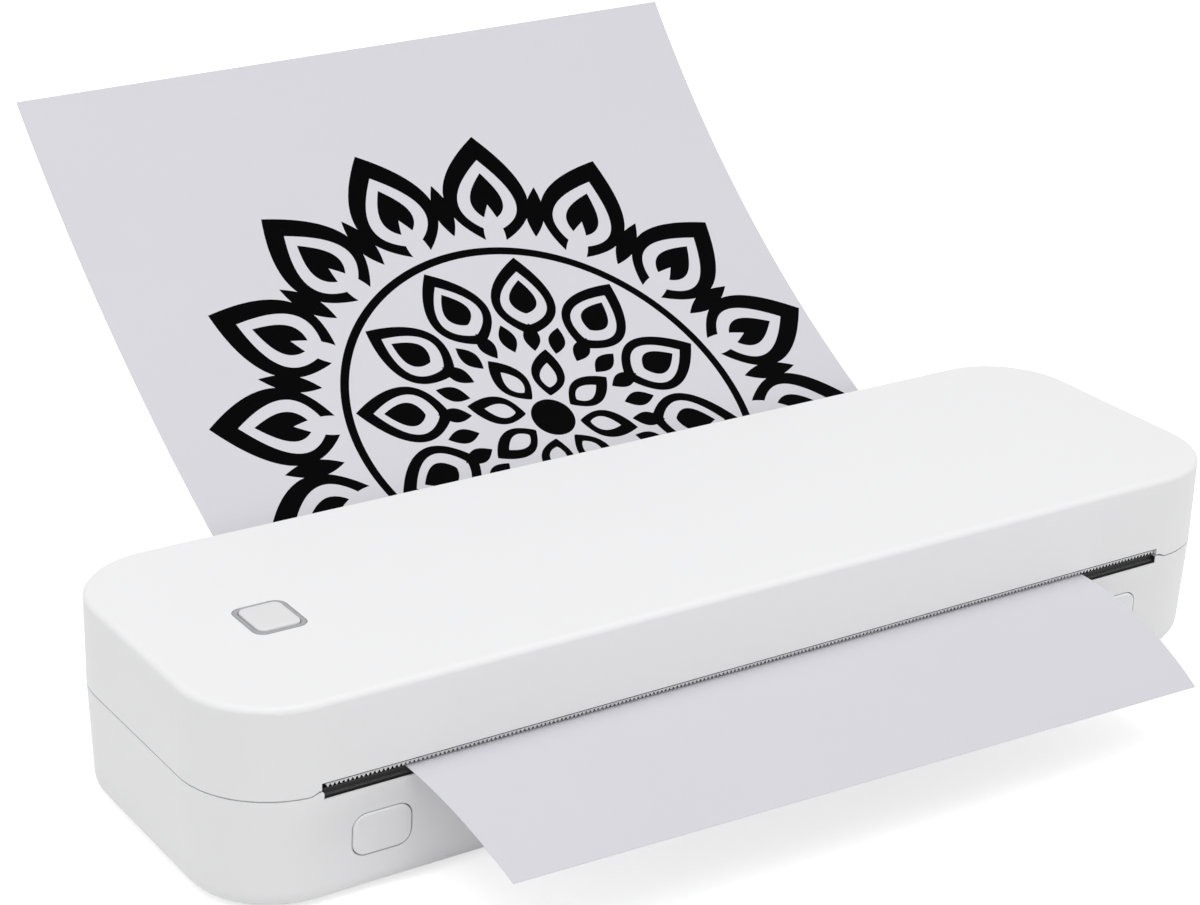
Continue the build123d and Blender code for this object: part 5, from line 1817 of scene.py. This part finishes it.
@dataclass
class LoadedSheet:
    """The A4 sheet in the paper path: flat through the slot, bent over the deck, and free behind."""

    width: float = 210.0
    length: float = 297.0
    thickness: float = 0.15
    centre_x: float = -3.0
    level: float = 31.2
    bend_start_y: float = -25.3
    bend_end_y: float = 50.0
    bend_radius: float = 165.5
    rise: float = 0.5
    rise_y: Point2 = (-45.6, -37.0)
    outlet_y: float = -46.0
    outlet_length: float = 48.6
    outlet_radii: Point2 = (172.0, 84.0)
    rear_radii: Point2 = (500.0, 360.0)
    rows: int = 240
    columns: int = 48
    sharp: float = 40.0

    def stretches(self, side: int) -> list[Point2]:
        """List the stretches of one long edge, from the slot to the rear.

        Args:
            side: 0 for the left edge and 1 for the right.

        Returns:
            The length and the curvature of each.
        """
        half = (self.rise_y[1] - self.rise_y[0]) / 2
        radius = (half ** 2 + (self.rise / 2) ** 2) / self.rise
        swing = radius * math.asin(half / radius)
        bend = self.bend_radius * math.asin((self.bend_end_y - self.bend_start_y) / self.bend_radius)
        return [(self.rise_y[0] - self.outlet_y, 0.0), (swing, -1 / radius), (swing, 1 / radius),
                (self.bend_start_y - self.rise_y[1], 0.0), (bend, 1 / self.bend_radius),
                (self.length, 1 / self.rear_radii[side])]

    def edge_point(self, side: int, along: float) -> Point3:
        """Find a point on one long edge.

        Args:
            side: 0 for the left edge and 1 for the right.
            along: the distance from the outlet end.

        Returns:
            Its y and z, and the slope there in radians.
        """
        y, z, slope = self.outlet_y, self.level + self.rise, 0.0
        along -= self.outlet_length
        if along < 0:
            radius = self.outlet_radii[side]
            turn = -along / radius
            return y - radius * math.sin(turn), z - radius * (1 - math.cos(turn)), turn
        for length, curvature in self.stretches(side):
            step = min(along, length)
            after = slope + step * curvature
            if curvature:
                y += (math.sin(after) - math.sin(slope)) / curvature
                z -= (math.cos(after) - math.cos(slope)) / curvature
            else:
                y += step
            slope = after
            along -= step
        return y, z, slope

    def points(self) -> tuple[list[Point3], list[Point2]]:
        """Lay out the points of the upper and then the under face, row by row from the outlet end.

        Returns:
            The points, and the same points on the flat sheet, in metres.
        """
        verts, flats = [], []
        for lift in (self.thickness / 2, -self.thickness / 2):
            for row in range(self.rows + 1):
                along = self.length * row / self.rows
                left, right = self.edge_point(0, along), self.edge_point(1, along)
                for column in range(self.columns + 1):
                    share = column / self.columns
                    y, z, slope = (a * (1 - share) + b * share for a, b in zip(left, right))
                    x = self.width * (share - 0.5)
                    verts.append(((self.centre_x + x) * MM, (y - math.sin(slope) * lift) * MM,
                                  (z + math.cos(slope) * lift) * MM))
                    flats.append((x * MM, (self.length - along) * MM))
        return verts, flats

    def faces(self) -> list[tuple[int, int, int, int]]:
        """List the faces of both sides and of the rim between them.

        Returns:
            The faces, as numbers of points.
        """
        wide = self.columns + 1
        layer = wide * (self.rows + 1)
        faces = []
        for row in range(self.rows):
            for column in range(self.columns):
                a = row * wide + column
                b = a + layer
                faces += [(a, a + 1, a + wide + 1, a + wide), (b + wide, b + wide + 1, b + 1, b)]
        rim = list(range(wide))
        rim += [row * wide + self.columns for row in range(1, self.rows + 1)]
        rim += [self.rows * wide + column for column in range(self.columns - 1, -1, -1)]
        rim += [row * wide for row in range(self.rows - 1, 0, -1)]
        return faces + [(second, first, first + layer, second + layer)
                        for first, second in zip(rim, rim[1:] + rim[:1])]

    def build(self, shop: Workshop) -> None:
        """Make the sheet, with its flat place as its UV map and its upper face marked.

        Args:
            shop: the workshop that makes the pieces.
        """
        verts, flats = self.points()
        data = bpy.data.meshes.new("loaded_sheet")
        data.from_pydata(verts, [], self.faces())
        layer = len(verts) // 2
        upper = data.attributes.new(PrintedPaper.UPPER_FACE, "FLOAT", "POINT")
        upper.data.foreach_set("value", [1.0] * layer + [0.0] * layer)
        flat_map = data.uv_layers.new(name=PrintedPaper.UV_MAP)
        for loop in data.loops:
            flat_map.data[loop.index].uv = flats[loop.vertex_index]
        data.polygons.foreach_set("use_smooth", [True] * len(data.polygons))
        data.set_sharp_from_angle(angle=math.radians(self.sharp))
        data.materials.append(shop.paints["paper"])
        sheet = shop.placed(linked("loaded_sheet", data), Body.BASE, "paper", "paper_sheet")


# ---------------------------------------------------------------------------------------------
# Studio
# ---------------------------------------------------------------------------------------------
@dataclass(frozen=True)
class Lamp:
    """A soft square light, with its places and its side in metres and its power in watts."""

    name: str
    place: Point3
    aim: Point3
    side: float
    power: float

    def hang(self) -> None:
        """Put the lamp into the scene."""
        light = bpy.data.lights.new(self.name, "AREA")
        light.shape = "SQUARE"
        light.size = self.side
        light.energy = self.power
        lamp = linked(self.name, light)
        lamp.location = self.place
        lamp.rotation_euler = (Vector(self.place) - Vector(self.aim)).to_track_quat("Z", "Y").to_euler()


@dataclass
class Studio:
    """The camera, the light and the floor."""

    lens_mm: float = 85.539
    sensor_mm: float = 36.0
    place_mm: Point3 = (-399.01, -553.01, 355.87)
    azimuth: float = -34.0645
    elevation: float = 22.6973
    roll: float = 1.8410
    clip: Point2 = (0.02, 20.0)
    sky: float = 0.57
    floor_tone: float = 0.8
    floor_lift: float = 0.6
    floor_radius: float = 6.0
    lamps: tuple[Lamp, ...] = (
        Lamp("overhead", (-0.25, -0.35, 1.6), (0.0, 0.0, 0.05), 1.4, 14.4),
        Lamp("right_fill", (1.0, -1.65, 0.12), (0.0, -0.05, 0.02), 0.7, 4.5),
        Lamp("left_fill", (-1.9, 0.55, 0.3), (-0.05, -0.05, 0.02), 0.7, 2.2))

    def camera(self) -> None:
        """Stand the camera before the front left of the printer, above it."""
        az, el, roll = (math.radians(angle) for angle in (self.azimuth, self.elevation, self.roll))
        back = Vector((math.sin(az) * math.cos(el), -math.cos(az) * math.cos(el), math.sin(el)))
        right = Vector((0, 0, 1)).cross(back).normalized()
        up = back.cross(right)
        across = right * math.cos(roll) + up * math.sin(roll)
        rise = up * math.cos(roll) - right * math.sin(roll)
        turn = Matrix((across, rise, back)).transposed().to_4x4()
        lens = bpy.data.cameras.new("camera")
        lens.lens = self.lens_mm
        lens.sensor_width = self.sensor_mm
        lens.sensor_fit = "HORIZONTAL"
        lens.clip_start, lens.clip_end = self.clip
        camera = linked("camera", lens)
        camera.matrix_world = Matrix.Translation(Vector(self.place_mm) * MM) @ turn
        bpy.context.scene.camera = camera

    @staticmethod
    def seen(graph: Graph) -> Socket:
        """Mask the rays that show the background: the camera's, and those off metal or through glass.

        Args:
            graph: a material's or the world's graph.

        Returns:
            A mask that is 1 for those rays.
        """
        rays = graph.node("ShaderNodeLightPath").outputs
        straight = graph.math("MAXIMUM", rays["Is Camera Ray"], rays["Is Transmission Ray"])
        return graph.math("MAXIMUM", straight, rays["Is Glossy Ray"])

    def world(self) -> None:
        """Make an even pale sky that the camera sees as white."""
        world = bpy.data.worlds.new("studio")
        world.use_nodes = True
        graph = Graph(world.node_tree)
        strength = graph.ramp(self.seen(graph), 0.0, 1.0, self.sky, 1.0)
        background = graph.node("ShaderNodeBackground", {"Color": WHITE, "Strength": strength})
        graph.node("ShaderNodeOutputWorld", {"Surface": background.outputs["Background"]})
        bpy.context.scene.world = world

    def floor(self) -> None:
        """Lay a wide white floor that keeps the printer's shadow."""
        disc = bmesh.new()
        bmesh.ops.create_circle(disc, cap_ends=True, segments=96, radius=self.floor_radius)
        data = bpy.data.meshes.new("floor")
        disc.to_mesh(data)
        disc.free()
        material = bpy.data.materials.new("floor_white")
        material.use_nodes = True
        graph = Graph(material.node_tree)
        matt = graph.node("ShaderNodeBsdfDiffuse", {"Color": scaled(WHITE, self.floor_tone)})
        glow = graph.node("ShaderNodeEmission", {
            "Color": WHITE, "Strength": graph.times(self.seen(graph), self.floor_lift)})
        both = graph.node("ShaderNodeAddShader", {0: matt.outputs[0], 1: glow.outputs[0]})
        graph.node("ShaderNodeOutputMaterial", {"Surface": both.outputs[0]})
        data.materials.append(material)
        linked("floor", data)

    def build(self) -> None:
        """Set up the whole studio."""
        self.camera()
        self.world()
        self.floor()
        for lamp in self.lamps:
            lamp.hang()
        bpy.context.scene.view_settings.view_transform = "Standard"
        log.info("studio ready")


def main() -> None:
    """Dress the frame, add the detailed pieces, and set up the picture."""
    logging.basicConfig(level=logging.INFO, format="%(name)s: %(message)s")
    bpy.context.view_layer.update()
    shop = Workshop()
    for assembly in (Feet(), TearComb(), GuideCheeks(), PowerControl(), ReleaseButtons(), Fasteners(),
                     Springs(), FlatCables(), LoadedSheet()):
        assembly.build(shop)
    Studio().build()


if __name__ == "__main__":
    main()
